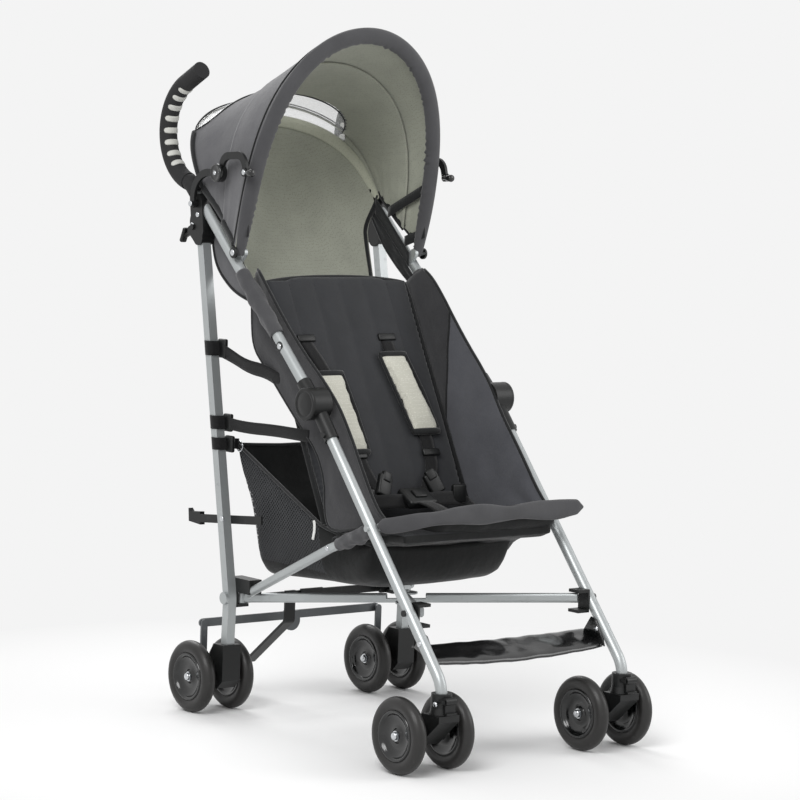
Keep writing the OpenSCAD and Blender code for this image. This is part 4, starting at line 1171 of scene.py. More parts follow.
@dataclass
class Backrest:
    """The reclining backrest pad with sewn channels, and the harness on it."""

    finishes: Finishes
    base: Pair = (21.6, 333.6)
    lean: float = 27.0
    length: float = 452.0
    half: float = 154.0
    channels: int = 6
    strap_x: float = 72.0
    strap_width: float = 25.0
    pad_width: float = 57.0
    pad_low: float = 0.3
    pad_high: float = 0.62
    pad_shift: float = 0.035
    pad_lean: float = 16.0

    def place(self, x: float, share: float, depth: float) -> Vector:
        """Gives a place on the pad.

        Args:
            x: Across, in millimetres.
            share: Up the pad, from 0 to 1.
            depth: In front of the pad's middle plane, in millimetres.

        Returns:
            The place in the row frame.
        """
        lean = math.radians(self.lean)
        up = self.length * share
        y = self.base[0] + math.sin(lean) * up - math.cos(lean) * depth
        z = self.base[1] + math.cos(lean) * up + math.sin(lean) * depth
        return at(x, y, z)

    def surface(self, x: float, share: float) -> float:
        """Gives the pad's front height over its middle plane, in millimetres."""
        across = abs(x) / self.half
        swell = (1 - across ** 6) * (1 - abs(2 * share - 1) ** 10)
        beat = abs(math.sin(math.pi * self.channels * (x / self.half + 1) / 2))
        return 7.5 + (2.2 * beat ** 0.5 + 1.0) * swell

    def slant(self, side: int, share: float) -> float:
        """Gives how far a strap leans over to the child's left at a height, in millimetres."""
        middle = (self.pad_low + self.pad_high) / 2
        inside = max(-1.0, min(1.0, (middle - share) / (self.pad_high - middle)))
        swing = self.pad_lean * ease((0.7 - share) * 3) if side > 0 else 0.0
        return (7 * inside * ease((0.78 - share) * 9) + swing) * ease((share - 0.06) * 6)

    def pad(self) -> bpy.types.Object:
        """Builds the padded back with its channels."""
        def slab(u: float, v: float, w: float) -> Vector:
            """Puts a point of the slab in place."""
            x = self.half * (2 * u - 1)
            edge = (1 - abs(2 * u - 1) ** 8) * (1 - abs(2 * v - 1) ** 12)
            crown = 0.99 - 0.022 * abs(2 * u - 1) ** 3
            return self.place(x, mix(0.01, crown, v), mix(-2.5 - 3 * edge, 2.0 + 2.5 * edge, w))

        obj = Pad("backrest_pad", 5.0, 5.0).build(60, 80, slab, [self.finishes.back])
        lean = math.radians(self.lean)
        ahead = Vector((0, -math.cos(lean), math.sin(lean)))
        up = Vector((0, math.sin(lean), math.cos(lean)))
        origin = at(0, *self.base)
        for vert in obj.data.vertices:
            depth = (vert.co - origin).dot(ahead) / MM
            share = (vert.co - origin).dot(up) / MM / self.length
            if depth > 0.5:
                x = vert.co.x / MM
                target = self.surface(max(-self.half, min(self.half, x)), max(0.0, min(1.0, share)))
                edge = ease((1 - abs(x) / self.half) * 14) * ease(min(share, 1 - share) * 26)
                vert.co += ahead * ((target - depth) * 0.85 * edge * MM)
        soften(obj)
        return obj

    def trims(self) -> bpy.types.Object:
        """Builds the binding round the pad's edge and the stitch lines of its channels."""
        f = self.finishes
        work = Workpiece()
        ring = [(-self.half, 0.02), (-self.half, 0.945), (-self.half + 14, 0.961), (-60, 0.979), (60, 0.979),
                (self.half - 14, 0.961), (self.half, 0.945), (self.half, 0.02)]
        line = rounded(ring, 2)
        work.tube([self.place(*along(line, i / 90), 0.5) for i in range(91)], 4.2, 0, 10)
        for k in range(1, self.channels):
            x = self.half * (2 * k / self.channels - 1)
            for i in range(62):
                share = 0.05 + 0.9 * i / 62
                ends = [self.place(x, share + d, self.surface(x, share) + 0.25) for d in (0.0, 0.0055, 0.009)]
                work.tube(ends, 0.5, 1, 5)
        return work.piece("backrest_binding", [f.binding, f.webbing])

    def straps(self) -> bpy.types.Object:
        """Builds the shoulder straps with their slots and adjusters."""
        f = self.finishes
        work = Workpiece()
        tilt = Matrix.Rotation(math.radians(self.lean), 3, "X").inverted()
        for side in SIDES:
            slot = 73 if side > 0 else 96
            line = rounded([(slot, 0.722, 2.0), (slot, 0.708, 12.5), (74, 0.6, 13.6), (71, 0.48, 14),
                            (70, 0.33, 14), (64, 0.2, 16), (46, 0.1, 26), (20, 0.055, 44)], 2)

            def place(u: float, v: float) -> Vector:
                """Puts a point of the webbing in place."""
                x, share, depth = along(line, u)
                turn = ease((u - 0.72) * 4) * 0.9
                offset = (v - 0.5) * self.strap_width
                return self.place(side * (x + offset * math.cos(turn)) + self.slant(side, share),
                                  share + offset * math.sin(turn) / self.length, depth)

            work.grid(70, 4, place)
            for x, share, depth in ((slot, 0.726, 10.5), (69, 0.26, 16.5)):
                middle = self.place(side * x + self.slant(side, share), share, depth)
                work.block(middle, (34, 5, 11), 2.0, tilt, 1)
        return work.sheet("harness_straps", [f.webbing, f.plastic], 1.8)

    def shoulder_pad(self, side: int) -> bpy.types.Object:
        """Builds one pale shoulder pad."""
        def slab(u: float, v: float, w: float) -> Vector:
            """Puts a point of the pad in place."""
            x, y = 2 * u - 1, 2 * v - 1
            round_off = 1 - 0.16 * abs(y) ** 6
            edge = (1 - abs(x) ** 5) * (1 - abs(y) ** 9)
            middle, share = self.pad_middle(side, v)
            return self.place(middle + self.pad_width / 2 * x * round_off, share,
                              mix(15.5 - edge, 18.5 + 2.5 * edge, w))

        obj = Pad(Side(side).word + "_shoulder_pad", 3.5, 4.0, 3.0).build(18, 40, slab, [self.finishes.pad])
        soften(obj)
        return obj

    def pad_middle(self, side: int, v: float) -> Pair:
        """Gives the place across and up the back of a shoulder pad's middle, at a share of its length."""
        share = mix(self.pad_low, self.pad_high, v) + side * self.pad_shift
        return side * self.strap_x + self.slant(side, share), share

    def pad_trim(self, side: int) -> bpy.types.Object:
        """Builds the binding round a shoulder pad, with a thicker fold over each end."""
        work = Workpiece()
        half = self.pad_width / 2
        inner = 0.84 * half
        ring = rounded([(0, 0), (-inner, 0), (-half, 0.05), (-half, 0.95), (-inner, 1),
                        (inner, 1), (half, 0.95), (half, 0.05), (inner, 0), (0, 0)], 1)
        path = []
        for i in range(81):
            x, v = along(ring, i / 80)
            middle, share = self.pad_middle(side, v)
            path.append(self.place(middle + x * 1.02, share, 17.3))
        work.tube(path, 3.0, 0, 8)
        edge = 0.006 / (self.pad_high - self.pad_low)
        for v in (edge, 1 - edge):
            middle, share = self.pad_middle(side, v)
            line = [self.place(middle + half * (i / 10 - 1), share, 20.5 - 4 * abs(i / 10 - 1) ** 4)
                    for i in range(21)]
            work.tube(line, 5.0, 0, 8, 0.6)
        return work.piece(Side(side).word + "_shoulder_pad_binding", [self.finishes.binding])

    def build(self) -> None:
        """Builds and ties the backrest pieces."""
        pad = fasten(self.pad(), "backrest_unit", ["backrest"], True)
        fasten(self.trims(), "backrest_unit", [], True)
        fasten(self.straps(), "backrest_unit", ["harness"], True)
        for side in SIDES:
            soft = fasten(self.shoulder_pad(side), "backrest_unit", [], True)
            fasten(self.pad_trim(side), "backrest_unit", [], True)


@dataclass
class Seat:
    """The seat pad with its wavy front apron, the side wings and the lap harness."""

    finishes: Finishes
    front: Pair = (-186.0, 356.0)
    rear: Pair = (14.0, 326.0)
    half: float = 160.0
    thickness: float = 22.0

    def pad(self) -> bpy.types.Object:
        """Builds the seat pad."""
        def slab(u: float, v: float, w: float) -> Vector:
            """Puts a point of the slab in place."""
            x = 2 * u - 1
            y = mix(self.front[0] + 3, self.rear[0] - 3, v)
            top = mix(self.front[1], self.rear[1], v) - 3 * max(0.0, 1 - 4 * v) ** 2
            edge = (1 - abs(x) ** 6) * (1 - abs(2 * v - 1) ** 8)
            return at((self.half - 4) * x, y, mix(top - self.thickness + 4, top - 4 + 5 * edge, w))

        obj = Pad("seat_pad", 5.0, 5.0).build(60, 40, slab, [self.finishes.back, self.finishes.bag])
        for polygon in obj.data.polygons:
            polygon.material_index = 0 if polygon.normal.z > 0.4 else 1
        soften(obj)
        return obj

    def apron(self) -> bpy.types.Object:
        """Builds the padded strip, wavy and upright, along the seat's front edge."""
        line = rounded([(-178, -142, 361), (-170, -163, 363), (-146, -181, 368), (-100, -190, 374),
                        (-40, -194, 378), (30, -195, 375), (90, -194, 378), (150, -194, 376),
                        (184, -198, 379), (199, -202, 379)], 2)

        def place(u: float, v: float) -> Vector:
            """Puts a point of the strip's skin in place."""
            here = Vector(along(line, u))
            after, before = Vector(along(line, u + 0.01)), Vector(along(line, u - 0.01))
            run = (after - before).normalized()
            lean = 0.18 * math.sin(u * 13 + 0.5)
            front = run.cross(Vector((0, 0, 1))).normalized()
            up = Vector((0, 0, 1)) * math.cos(lean) + front * math.sin(lean)
            angle = 2 * math.pi * v
            c, s = math.cos(angle), math.sin(angle)
            tall = mix(10.5, 14.0, ease(u * 3)) + 2.2 * math.sin(u * 17)
            tall += 1.5 * noise.noise(Vector((u * 9, v * 2, 4.4)))
            deep = 6.5 + 1.8 * noise.noise(Vector((u * 12, v * 3, 1.1)))
            end = ease(min(u, 1 - u) * 22 + 0.25) if 0 < u < 1 else 0.0
            high, wide = (math.copysign(abs(a) ** 0.8, a) for a in (c, s))
            return at(*(here + (up * (high * tall) + front * (wide * deep)) * end))

        work = Workpiece()
        work.grid(110, 20, place, merge=True)
        return work.piece("seat_apron", [self.finishes.hem])

    def skirt(self) -> bpy.types.Object:
        """Builds the black cloth from the seat's front edge back to the basket."""
        line = rounded([(-187, 370), (-182, 348), (-146, 332), (-92, 318), (-72, 296)], 2)

        def place(u: float, v: float) -> Vector:
            """Puts a point of the skirt in place."""
            y, z = along(line, v)
            x = mix(-136, 154, u)
            sway = 4 * noise.noise(Vector((u * 9, v * 3, 2.6))) * math.sin(math.pi * v)
            return at(x, y + sway + 24 * ease((-70 - x) / 60) * (1 - v), z + sway)

        work = Workpiece()
        work.grid(60, 16, place)
        return work.sheet("seat_skirt", [self.finishes.bag], 1.6)

    def wing(self, side: int) -> bpy.types.Object:
        """Builds the side panel from the front tube in to the seat and backrest."""
        def choose(u: float, v: float) -> int:
            """Picks the slots with slate cloth inside for the lower part, and plain wing cloth above."""
            return 0 if u > self.wing_seam(v) else 2

        f = self.finishes
        work = Workpiece()
        work.grid(70, 24, lambda u, v: self.wing_place(side, u, v), choose=choose)
        if side < 0:
            bmesh.ops.reverse_faces(work.bm, faces=work.bm.faces[:])
        return work.sheet(Side(side).word + "_seat_wing", [f.side, f.seat, f.side, f.side], 3.0, 1)

    def wing_place(self, side: int, u: float, v: float) -> Vector:
        """Puts a point of a side panel in place.

        Args:
            side: The side, 1 for the child's left and -1 for the right.
            u: From the top down.
            v: From the front edge to the rear one.

        Returns:
            The place.
        """
        outer, inner = self.wing_edges(side)
        belly = math.sin(math.pi * v)
        ripple = 4 * noise.noise(Vector((u * 7, v * 3, 3.3 + side)))
        p = [mix(a, b, v) for a, b in zip(along(outer, u), along(inner, u))]
        return at(side * (p[0] - 3 * belly + ripple * belly), p[1], p[2])

    @staticmethod
    def wing_seam(v: float) -> float:
        """Gives how far down a side panel its cross seam lies, at a share from front to rear."""
        return 0.2 + 0.25 * v

    def wing_binding(self, side: int) -> bpy.types.Object:
        """Builds the dark binding along the edges and the cross seam of a side panel."""
        work = Workpiece()
        inside = Vector((-side * 1.6 * MM, 0, 0))
        for v in (0.0, 1.0):
            work.tube([self.wing_place(side, 0.01 + 0.98 * i / 60, v) for i in range(61)], 2.8, 0, 8)
        seam = [self.wing_place(side, self.wing_seam(i / 30), i / 30) + inside for i in range(31)]
        work.tube(seam, 2.4, 0, 8)
        return work.piece(Side(side).word + "_seat_wing_binding", [self.finishes.binding])

    @staticmethod
    def wing_edges(side: int) -> tuple[list[list[float]], list[list[float]]]:
        """Gives the front and rear edges of a side panel, from the top down.

        Args:
            side: The side, 1 for the child's left and -1 for the right.

        Returns:
            The edges, in drawing millimetres and without the side's sign.
        """
        if side < 0:
            front = [(172, 203, 744), (166, 104, 634), (160, 0, 550), (160, -43, 495), (160, -82, 433),
                     (160, -120, 380), (164, -160, 362)]
            rear = [(157, 236, 722), (158, 233, 657), (158, 226, 612), (158, 196, 586), (158, 111, 511),
                    (159, 22, 441), (160, 15, 340)]
        else:
            front = [(174, 200, 745), (172, 163, 725), (172, 85, 637), (172, 15, 571), (172, -23, 514),
                     (172, -74, 456), (172, -125, 391), (170, -164, 364)]
            rear = [(160, 236, 712), (160, 224, 690), (160, 142, 535), (160, 81, 414), (160, 38, 338)]
        rear += [(160, -20, 336), (160, -60, 345), (162, -168, 358)]
        return rounded(front, 2), rounded(rear, 2)

    def recline_straps(self) -> bpy.types.Object:
        """Builds the webbing that runs from the rear legs to the backrest and the basket."""
        work = Workpiece()
        for side in SIDES:
            upper = [(162, 186, 576), (158, 148, 562)] if side < 0 else [(165, 186, 573), (164, 150, 563)]
            lower = [(164, 90, 481), (159, 64, 480)] if side < 0 else [(165, 130, 481), (164, 102, 480)]
            runs = [
                ([(177, 304, 606), (174, 268, 596), (168, 228, 580)] + upper, 24.0),
                ([(177, 280, 484), (174, 220, 480), (168, 150, 482)] + lower, 20.0),
                ([(177, 276, 449), (168, 276, 449), (158, 275, 448), (148, 274, 447)], 18.0),
            ]
            for corners, width in runs:
                line = [(side * x, y, z) for x, y, z in rounded(corners, 2)]
                work.ribbon(line, Vector((0, 0, width)), 50, roll=side * 0.35 * width)
        return work.sheet("recline_straps", [self.finishes.webbing], 1.8)

    def lap_harness(self) -> bpy.types.Object:
        """Builds the lap straps, the crotch strap and the buckle."""
        f = self.finishes
        work = Workpiece()
        for side in SIDES:
            lap = rounded([(side * 150, 6, 350), (side * 110, -8, 374), (side * 60, -18, 380),
                           (side * 22, -20, 378)], 2)
            work.ribbon(lap, Vector((0, 8, 22)), 40)
            work.block(at(side * 96, -10, 384), (26, 8, 30), 2.5, None, 1)
            sideways = Matrix.Rotation(math.radians(-24 * side), 3, "Y")
            tilt = sideways @ Matrix.Rotation(math.radians(-18), 3, "X")
            work.block(at(52 * side, 2, 402), (26, 9, 36), 3.0, tilt, 1)
            work.block(at(46 * side, 4, 416), (16, 7, 16), 2.0, tilt, 1)
        crotch = rounded([(0, -112, 352), (0, -90, 368), (0, -60, 376), (0, -30, 378)], 2)
        work.ribbon(crotch, Vector((30, 0, 0)), 30)
        lie = Matrix.Rotation(math.radians(28), 3, "X")
        work.block(at(0, -20, 382), (56, 42, 15), 5.0, lie, 1)
        work.block(at(0, -24, 390), (22, 18, 5), 2.0, lie, 1)
        return work.sheet("lap_harness", [f.webbing, f.plastic], 1.8)

    def build(self) -> None:
        """Builds and ties the seat pieces."""
        pad = fasten(self.pad(), "seat_unit", ["seat"], True)
        apron = fasten(self.apron(), "seat_unit", [], True)
        fasten(self.skirt(), "seat_unit", [], True)
        fasten(self.recline_straps(), "seat_unit", [], True)
        for side in SIDES:
            fasten(self.wing_binding(side), "seat_unit", [], True)
            wing = fasten(self.wing(side), "seat_unit", [], True)
            Side(side).word + "_front_leg"
        fasten(self.lap_harness(), "seat_unit", [], True)


@dataclass
class Basket:
    """The shopping basket under the seat: a sagging bag with net sides and bound edges."""

    TOP = rounded([(-95, 322), (0, 330), (36, 336), (56, 344), (277, 446)], 1)
    LOW = rounded([(-95, 318), (-90, 278), (-70, 250), (-20, 243), (60, 240), (205, 230), (222, 229),
                   (225, 262), (229, 340), (256, 376), (277, 444)], 1)
    finishes: Finishes
    half: float = 147.0

    def rims(self, v: float) -> tuple[list[float], list[float]]:
        """Gives the side's top and bottom edges at a share from front to rear.

        Args:
            v: The share.

        Returns:
            Fore and aft place and height of the top edge, and of the bottom edge.
        """
        top = along(self.TOP, min(1.0, v / 0.8))
        return top, along(self.LOW, v)

    def place(self, u: float, v: float) -> Vector:
        """Puts a point of the bag's skin in place."""
        top, low = self.rims(v)
        angle = (u - 0.5) * math.pi
        across = math.copysign(abs(math.sin(angle)) ** 0.3, angle)
        down = math.cos(angle) ** 0.35 if abs(u - 0.5) < 0.4999 else 0.0
        y = mix(top[0], low[0], down)
        sag = (3.0 + 5.0 * ease((10 - y) / 80)) * noise.noise(Vector((u * 7, v * 6, 6.4)))
        return at(self.half * across - sag * across * down, y + 2 * sag * down * ease((v - 0.7) * 4),
                  mix(top[1], low[1], down) + sag * (1 - abs(across)))

    def choose(self, u: float, v: float) -> int:
        """Picks the net for the middle of the side walls and the cloth elsewhere."""
        return 1 if min(u, 1 - u) < 0.2 and 0.3 < v < 0.86 else 0

    def build(self) -> None:
        """Builds and ties the basket pieces."""
        f = self.finishes
        work = Workpiece()
        work.grid(72, 64, self.place, choose=self.choose)
        bag = work.sheet("basket_bag", [f.bag, f.net], 1.6, 0, 1.0)
        fasten(bag, "seat_unit", ["basket"], True)
        trim = Workpiece()
        for side in SIDES:
            trim.tube([at(side * self.half, *along(self.TOP, i / 60)) for i in range(61)], 3.0, 0, 8)
            ring = [at(side * (self.half + 2), 270 + 8 * math.cos(i / 6), 443 + 8 * math.sin(i / 6))
                    for i in range(38)]
            trim.tube(ring, 1.4, 1, 8)
            pull = [at(side * (self.half + 2.5), 58 - 2 * math.sin(i / 3), 344 - 2.6 * i) for i in range(13)]
            trim.tube(pull, 3.2, 2, 8, 0.5)
        rear = [at(self.half * (1 - i / 15), 277, 446 - 5 * math.sin(math.pi * i / 30)) for i in range(31)]
        trim.tube(rear, 3.0, 0, 8)
        edges = trim.piece("basket_binding", [f.binding, f.steel, f.white])
        fasten(edges, "seat_unit", [], True)


@dataclass
class Footrest:
    """The sagging footrest band between the front legs, with its end brackets."""

    finishes: Finishes
    back: Pair = (-234.0, 190.0)
    front: Pair = (-286.0, 170.0)
    half: float = 176.0
    sag: float = 8.0

    def place(self, u: float, v: float) -> Vector:
        """Puts a point of the band in place."""
        x = 2 * u - 1
        drop = self.sag * (1 - x * x) * (1 - 0.75 * v)
        crease = 1.2 * noise.noise(Vector((u * 14, v * 3, 2.2)))
        roll = 4 * (abs(2 * v - 1) ** 6)
        y = mix(self.front[0], self.back[0], v)
        z = mix(self.front[1], self.back[1], v) - drop - roll + crease
        return at(self.half * x, y - 0.3 * drop, z)

    def build(self) -> None:
        """Builds and ties the footrest."""
        work = Workpiece()
        work.grid(70, 14, self.place)
        band = work.sheet("footrest_band", [self.finishes.band], 2.6, 0, -1.0)
        fasten(band, "seat_unit", ["footrest"], True)
        hardware = Workpiece()
        for side in SIDES:
            hardware.plate([(-240, 184), (-292, 166), (-288, 178), (-270, 206), (-258, 210)],
                           side * (self.half - 3), side * (self.half + 0.4), 0.8)
            hardware.turned([(0, 2.6), (2, 2.4), (4.4, 0.6), (4.6, 0)], at(side * (self.half - 3), -272, 192),
                            Vector((-side, 0, 0)), 1, 20)
        obj = hardware.piece("footrest_brackets", [self.finishes.gloss, self.finishes.steel])
        fasten(obj, "seat_unit", [], True)


@dataclass
class Wheels:
    """The eight wheels, turned as dished hubs in grooved foam tyres."""

    finishes: Finishes
    radius: float = 60.0
    tyre: float = 12.0
    hub: float = 39.0

    def build(self) -> None:
        """Builds and ties each wheel in place of its CAD node."""
        for name in [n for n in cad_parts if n.endswith("_wheel")]:
            low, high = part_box(name)
            side = 1 if low.x > 0 else -1
            outer = side if "outer" in name else -side
            middle = high.x - self.tyre * MM if outer > 0 else low.x + self.tyre * MM
            centre = Vector((middle, (low.y + high.y) / 2, self.radius * MM))
            work = Workpiece()
            face = Vector((outer, 0, 0))
            ring = [(self.hub, -9.5), (self.hub, 9.5)]
            for i in range(25):
                angle = math.radians(mix(128, -128, i / 24))
                groove = 0.5 if i in (8, 16) else 0.0
                ring.append((self.radius - self.tyre + (self.tyre - groove) * math.cos(angle),
                             self.tyre * math.sin(angle)))
            ring.append(ring[0])
            work.turned(ring, centre, face, 0, 72)
            dish = [(4.05, -17), (9, -17), (9, -5), (33, -5), (35, -9.6), (39.6, -10.2), (39.6, 10.4),
                    (37.5, 11.2), (35.2, 10.4), (33.6, 7.2), (31, 4.2), (22, 2.0), (14, 1.6), (10.5, 3.0),
                    (9.2, 5.2), (4.05, 5.4), (4.05, -17)]
            work.turned(dish, centre, face, 1, 72)
            obj = work.piece(name + "_dressed", [self.finishes.rubber, self.finishes.gloss])
            fasten(obj, name, [name])


@dataclass
class Fittings:
    """Rivets, bolt heads, grip inserts, sleeves and straps on the two side frames."""

    finishes: Finishes

    @staticmethod
    def axle_nuts(work: Workpiece, axle: str) -> None:
        """Adds the domed nuts at both ends of an axle.

        Args:
            work: The mesh they go into.
            axle: The axle's CAD node.
        """
        low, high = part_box(axle)
        middle = (low + high) / 2
        for x, way in ((low.x, -1), (high.x, 1)):
            work.rivet(Vector((x, middle.y, middle.z)), Vector((way, 0, 0)), 6.4, 4.0)

    def frame_fasteners(self, side: Side) -> bpy.types.Object:
        """Builds the rivets and bolts of one side frame."""
        s = side.value
        out = Vector((s, 0, 0))
        work = Workpiece()
        word = side.word

        def face(node: str) -> float:
            """Gives the outer face of a node, in millimetres."""
            low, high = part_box(f"{word}_{node}")
            return (high.x if s > 0 else low.x) / MM

        heads = [
            (face("top_bracket"), 347, 844, 4.8, 2.2), (s * 198.0, 341, 826, 4.6, 2.4),
            (s * 198.0, 356, 808, 4.6, 2.4), (s * 194.4, 106, 623, 4.8, 2.4),
            (s * 194.6, -138.7, 357, 5.0, 2.4), (s * 176.8, -14, 309, 4.2, 2.0),
            (s * 194.0, 235, 194, 9.0, 4.5),
            (s * 194.8, -238, 238, 5.0, 2.6), (s * 194.6, -276, 196, 4.6, 2.2),
            (s * 194.0, 252, 326, 5.0, 2.4), (s * 204.0, -330, 113, 4.4, 2.0),
        ]
        for x, y, z, radius, height in heads:
            work.rivet(at(x, y, z), out, radius, height)
        self.axle_nuts(work, f"rear_{word}_axle")
        knob = [(26.2, -3), (26.2, 0.4), (24.4, 1.6), (20.4, 1.6), (19.4, 0.5), (18.4, 1.3), (8, 2.0),
                (0, 2.2)]
        work.turned(knob, at(s * 208, *ELBOW), out, 1, 56)
        work.turned([(8.0, -0.6), (8.0, 0.8), (6.2, 1.4)], at(s * 194.0, 106, 623), out, 1, 32)
        arm = rounded([(352, 838), (368, 832), (376, 816), (372, 802), (358, 800)], 3)
        work.tube([at(s * FRAME_X, *p) for p in arm], 3.6, 1, 10)
        bar = [at(s * FRAME_X, y, z) for y, z in ((356, 800), (374, 796), (392, 789))]
        work.tube(bar, 4.4, 1, 10)
        work.block(at(s * FRAME_X, 395, 790), (12, 7, 26), 2.4, Matrix.Rotation(math.radians(24), 3, "X"), 1)
        return work.piece(word + "_frame_fasteners", [self.finishes.steel, self.finishes.plastic])

    def caster_fasteners(self, side: Side) -> bpy.types.Object:
        """Builds the domed nuts of one caster's axle."""
        work = Workpiece()
        self.axle_nuts(work, f"front_{side.word}_axle")
        return work.piece(side.word + "_caster_nuts", [self.finishes.steel])

    def grip_inserts(self, side: Side) -> bpy.types.Object:
        """Builds the eight pale inserts on the finger side of a grip."""
        centre, bend, radius = (364.0, 965.0), 88.0, 15.0
        work = Workpiece()
        for k in range(8):
            turn = math.radians(mix(-46, 60, k / 7))
            inward = Vector((0, -math.cos(turn), -math.sin(turn)))
            middle = Vector((side.value * FRAME_X, *centre)) - inward * bend
            run = Vector((0, -math.sin(turn), math.cos(turn)))

            def place(u: float, v: float) -> Vector:
                """Puts a point of an insert in place."""
                a, b = 2 * u - 1, 2 * v - 1
                reach = math.radians(62) * a
                half = 4.6 * (1 - abs(a) ** 5) ** 0.4 if abs(a) < 1 else 0.0
                lift = radius + 0.5 - 0.9 * max(abs(a), abs(b)) ** 8
                spread = inward * math.cos(reach) + Vector((1, 0, 0)) * math.sin(reach)
                return at(*(middle + spread * lift + run * (half * b)))

            work.grid(22, 8, place)
        return work.sheet(side.word + "_grip_inserts", [self.finishes.pale], 1.6)

    def sleeves(self, side: Side) -> bpy.types.Object:
        """Builds the cloth sleeves sewn round the front tube and the seat tube."""
        work = Workpiece()

        def sleeve(start: Pair, end: Pair, radius: float, x: float, seed: float) -> None:
            """Adds a crumpled sleeve between two places."""
            low, high = Vector((side.value * x, *start)), Vector((side.value * x, *end))
            cross = (high - low).normalized().cross(Vector((1, 0, 0)))

            def place(u: float, v: float) -> Vector:
                """Puts a point of the sleeve in place."""
                angle = 2 * math.pi * v
                c, s = math.cos(angle), math.sin(angle)
                pucker = 3.4 * noise.noise(Vector((u * 6, c * 1.2, seed + s * 1.2)))
                size = radius + 2.0 + pucker * math.sin(math.pi * u) ** 0.5 + 2.4 * math.sin(math.pi * u)
                return at(*(low.lerp(high, u) + (Vector((1, 0, 0)) * c + cross * s) * size))

            work.grid(36, 24, place, merge=True)

        sleeve((226, 735), (124, 640), 9.6, FRAME_X, 2.0)
        sleeve((-122, 351), (-36, 318), 8.2, 169.5, 5.0)
        return work.sheet(side.word + "_tube_sleeves", [self.finishes.hem], 1.2, 0, -1.0)

    def leg_straps(self, side: Side) -> bpy.types.Object:
        """Builds the webbing loops round a rear leg, with their adjusters."""
        f = self.finishes
        s = side.value
        work = Workpiece()
        for z, width in ((606, 24.0), (484, 22.0), (449, 20.0)):
            y = mix(LEG_LOW[0], LEG_TOP[0], (z - LEG_LOW[1]) / (LEG_TOP[1] - LEG_LOW[1]))
            corners = ((-10, -10), (10, -10), (10, 10), (-10, 10), (-10, -10))
            loop = rounded([(s * (FRAME_X + out), y + back, z) for out, back in corners], 2)
            work.ribbon(loop, Vector((0, 0.17 * width, width)), 48)
            work.block(at(s * 174, y - 15, z), (6, 20, width + 6), 2.0, None, 1)
        return work.sheet(side.word + "_leg_straps", [f.webbing, f.plastic], 1.8)

    def knob_cap(self, side: Side) -> bpy.types.Object:
        """Builds the glossy cap on the canopy strut's knob, with the rivet in it."""
        low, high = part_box(side.word + "_strut_upper")
        x = high.x if side.value > 0 else low.x
        seat = at(x / MM, 262, 897)
        out = Vector((side.value, 0, 0))
        cap = [(15.2, -7.5), (15.2, -1.2), (14.4, 0.6), (12.4, 1.4), (11.6, 0.5), (6, 1.5), (0, 1.9)]
        stub = [(0, -2), (6.2, -2), (6.2, 17), (5.4, 18.5), (0, 18.5)]
        work = Workpiece()
        work.turned(cap, seat, out, 0, 48)
        work.rivet(seat + out * (1.4 * MM), out, 3.6, 2.0, 1)
        work.turned(stub, at(side.value * 209.3, 191, 900), Vector((0, -1, -0.05)), 0, 28)
        work.rivet(at(side.value * 214.6, 191, 900), out, 4.6, 2.2, 1)
        return work.piece(side.word + "_strut_knob_cap", [self.finishes.gloss, self.finishes.steel])

    def build(self) -> None:
        """Builds and ties the fittings of both sides."""
        for side in Side:
            fasten(self.frame_fasteners(side), side.body)
            fasten(self.caster_fasteners(side), side.word + "_caster")
            fasten(self.grip_inserts(side), side.body)
            fasten(self.sleeves(side), side.body)
            fasten(self.leg_straps(side), side.body)
            fasten(self.knob_cap(side), side.word + "_strut_upper")


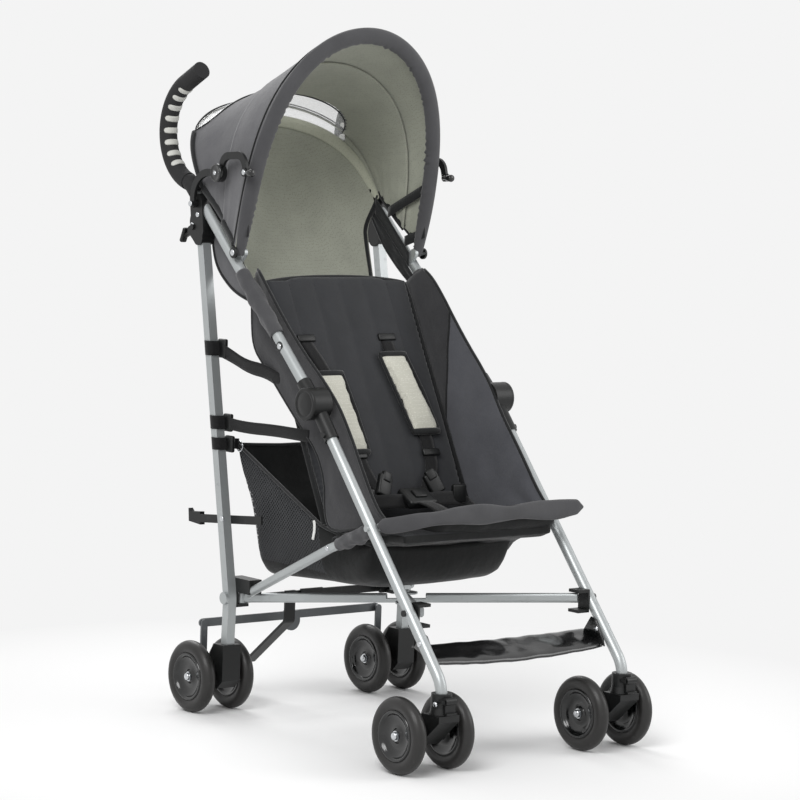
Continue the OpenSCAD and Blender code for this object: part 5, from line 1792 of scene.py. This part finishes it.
@dataclass
class Studio:
    """Camera, lamps, pale floor and background."""

    background: str = "#f4f4f4"
    camera_at: tuple[float, float, float] = (-3032.8, -3738.9, 948.3)
    yaw: float = 38.80
    pitch: float = -4.85
    roll: float = 1.95
    focal_px: float = 2971.5
    image_px: float = 800.0

    def camera(self) -> None:
        """Makes the camera at the photograph's viewing angle."""
        yaw, pitch, roll = (math.radians(a) for a in (self.yaw, self.pitch, self.roll))
        ahead = Vector((math.sin(yaw) * math.cos(pitch), math.cos(yaw) * math.cos(pitch), math.sin(pitch)))
        right = Vector((math.cos(yaw), -math.sin(yaw), 0))
        up = right.cross(ahead)
        across = right * math.cos(roll) + up * math.sin(roll)
        upward = up * math.cos(roll) - right * math.sin(roll)
        data = bpy.data.cameras.new("camera")
        data.sensor_width = 36
        data.lens = self.focal_px / self.image_px * data.sensor_width
        data.clip_end = 50
        obj = bpy.data.objects.new("camera", data)
        turn = Matrix((across, upward, -ahead)).transposed().to_4x4()
        obj.matrix_world = Matrix.Translation(at(*self.camera_at)) @ turn
        bpy.context.scene.collection.objects.link(obj)
        bpy.context.scene.camera = obj

    def lamp(self, name: str, place: Vector, size: float, power: float) -> None:
        """Adds a soft square lamp that faces the stroller.

        Args:
            name: The lamp's name.
            place: Where it hangs.
            size: Its side in metres.
            power: Its power in watts.
        """
        data = bpy.data.lights.new(name, "AREA")
        data.size = size
        data.energy = power
        obj = bpy.data.objects.new(name, data)
        aim = (Vector((0, 0, 0.55)) - place).to_track_quat("-Z", "Y").to_matrix().to_4x4()
        obj.matrix_world = Matrix.Translation(place) @ aim
        bpy.context.scene.collection.objects.link(obj)

    def world(self) -> None:
        """Makes soft light all round, with a plain pale background for the eye."""
        world = bpy.data.worlds.new("studio")
        bpy.context.scene.world = world
        world.use_nodes = True
        links = Links(world.node_tree)
        world.node_tree.nodes.clear()
        fill = links.node("ShaderNodeBackground")
        fill.inputs["Color"].default_value = (1, 1, 1, 1)
        fill.inputs["Strength"].default_value = 0.62
        seen = links.node("ShaderNodeBackground")
        seen.inputs["Color"].default_value = colour(self.background)
        ray = links.node("ShaderNodeLightPath")
        eye = links.maths("MAXIMUM", ray.outputs["Is Camera Ray"], ray.outputs["Is Glossy Ray"])
        eye = links.maths("MAXIMUM", eye, ray.outputs["Is Transmission Ray"])
        both = links.node("ShaderNodeMixShader")
        links.join(eye, both.inputs[0])
        links.join(fill.outputs[0], both.inputs[1])
        links.join(seen.outputs[0], both.inputs[2])
        links.join(both.outputs[0], links.node("ShaderNodeOutputWorld").inputs[0])

    def floor(self) -> None:
        """Makes a pale floor that keeps the shadow and fades into the background."""
        work = Workpiece()
        bmesh.ops.create_circle(work.bm, cap_ends=True, segments=96, radius=9.0)
        obj = work.piece("studio_floor", [])
        tree = FinishTree("pale floor")
        tree.shader.inputs["Base Color"].default_value = colour("#f6f6f6")
        tree.shader.inputs["Roughness"].default_value = 0.9
        tree.shader.inputs["Specular IOR Level"].default_value = 0.0
        glow = tree.node("ShaderNodeEmission")
        glow.inputs["Color"].default_value = colour(self.background)
        far = tree.node("ShaderNodeVectorMath", operation="LENGTH")
        tree.join(tree.node("ShaderNodeTexCoord").outputs["Object"], far.inputs[0])
        share = tree.maths("MULTIPLY", tree.maths("SUBTRACT", far.outputs["Value"], 0.45), 1.6)
        both = tree.node("ShaderNodeMixShader")
        tree.join(tree.clamp(share), both.inputs[0])
        tree.join(tree.shader.outputs[0], both.inputs[1])
        tree.join(glow.outputs[0], both.inputs[2])
        output = next(n for n in tree.tree.nodes if n.type == "OUTPUT_MATERIAL")
        tree.join(both.outputs[0], output.inputs[0])
        obj.data.materials.append(tree.material)

    def build(self) -> None:
        """Sets up the whole studio."""
        bpy.context.scene.view_settings.view_transform = "Standard"
        self.camera()
        self.lamp("key lamp", Vector((-2.4, -1.6, 2.8)), 1.8, 70)
        self.lamp("fill lamp", Vector((2.6, -2.2, 2.0)), 2.0, 32)
        self.lamp("rim lamp", Vector((0.6, 2.4, 2.6)), 1.6, 40)
        self.world()
        self.floor()


def main() -> None:
    """Builds the studio and every part of the stroller."""
    logging.basicConfig(level=logging.INFO, format="%(name)s: %(message)s")
    Studio().build()
    finishes = Finishes()
    CadFinish(finishes).dress()
    for part in (Canopy(finishes), Backrest(finishes), Seat(finishes), Basket(finishes), Footrest(finishes),
                 Wheels(finishes), Fittings(finishes)):
        part.build()
        LOG.info("%s done", type(part).__name__)


if __name__ == "__main__":
    main()
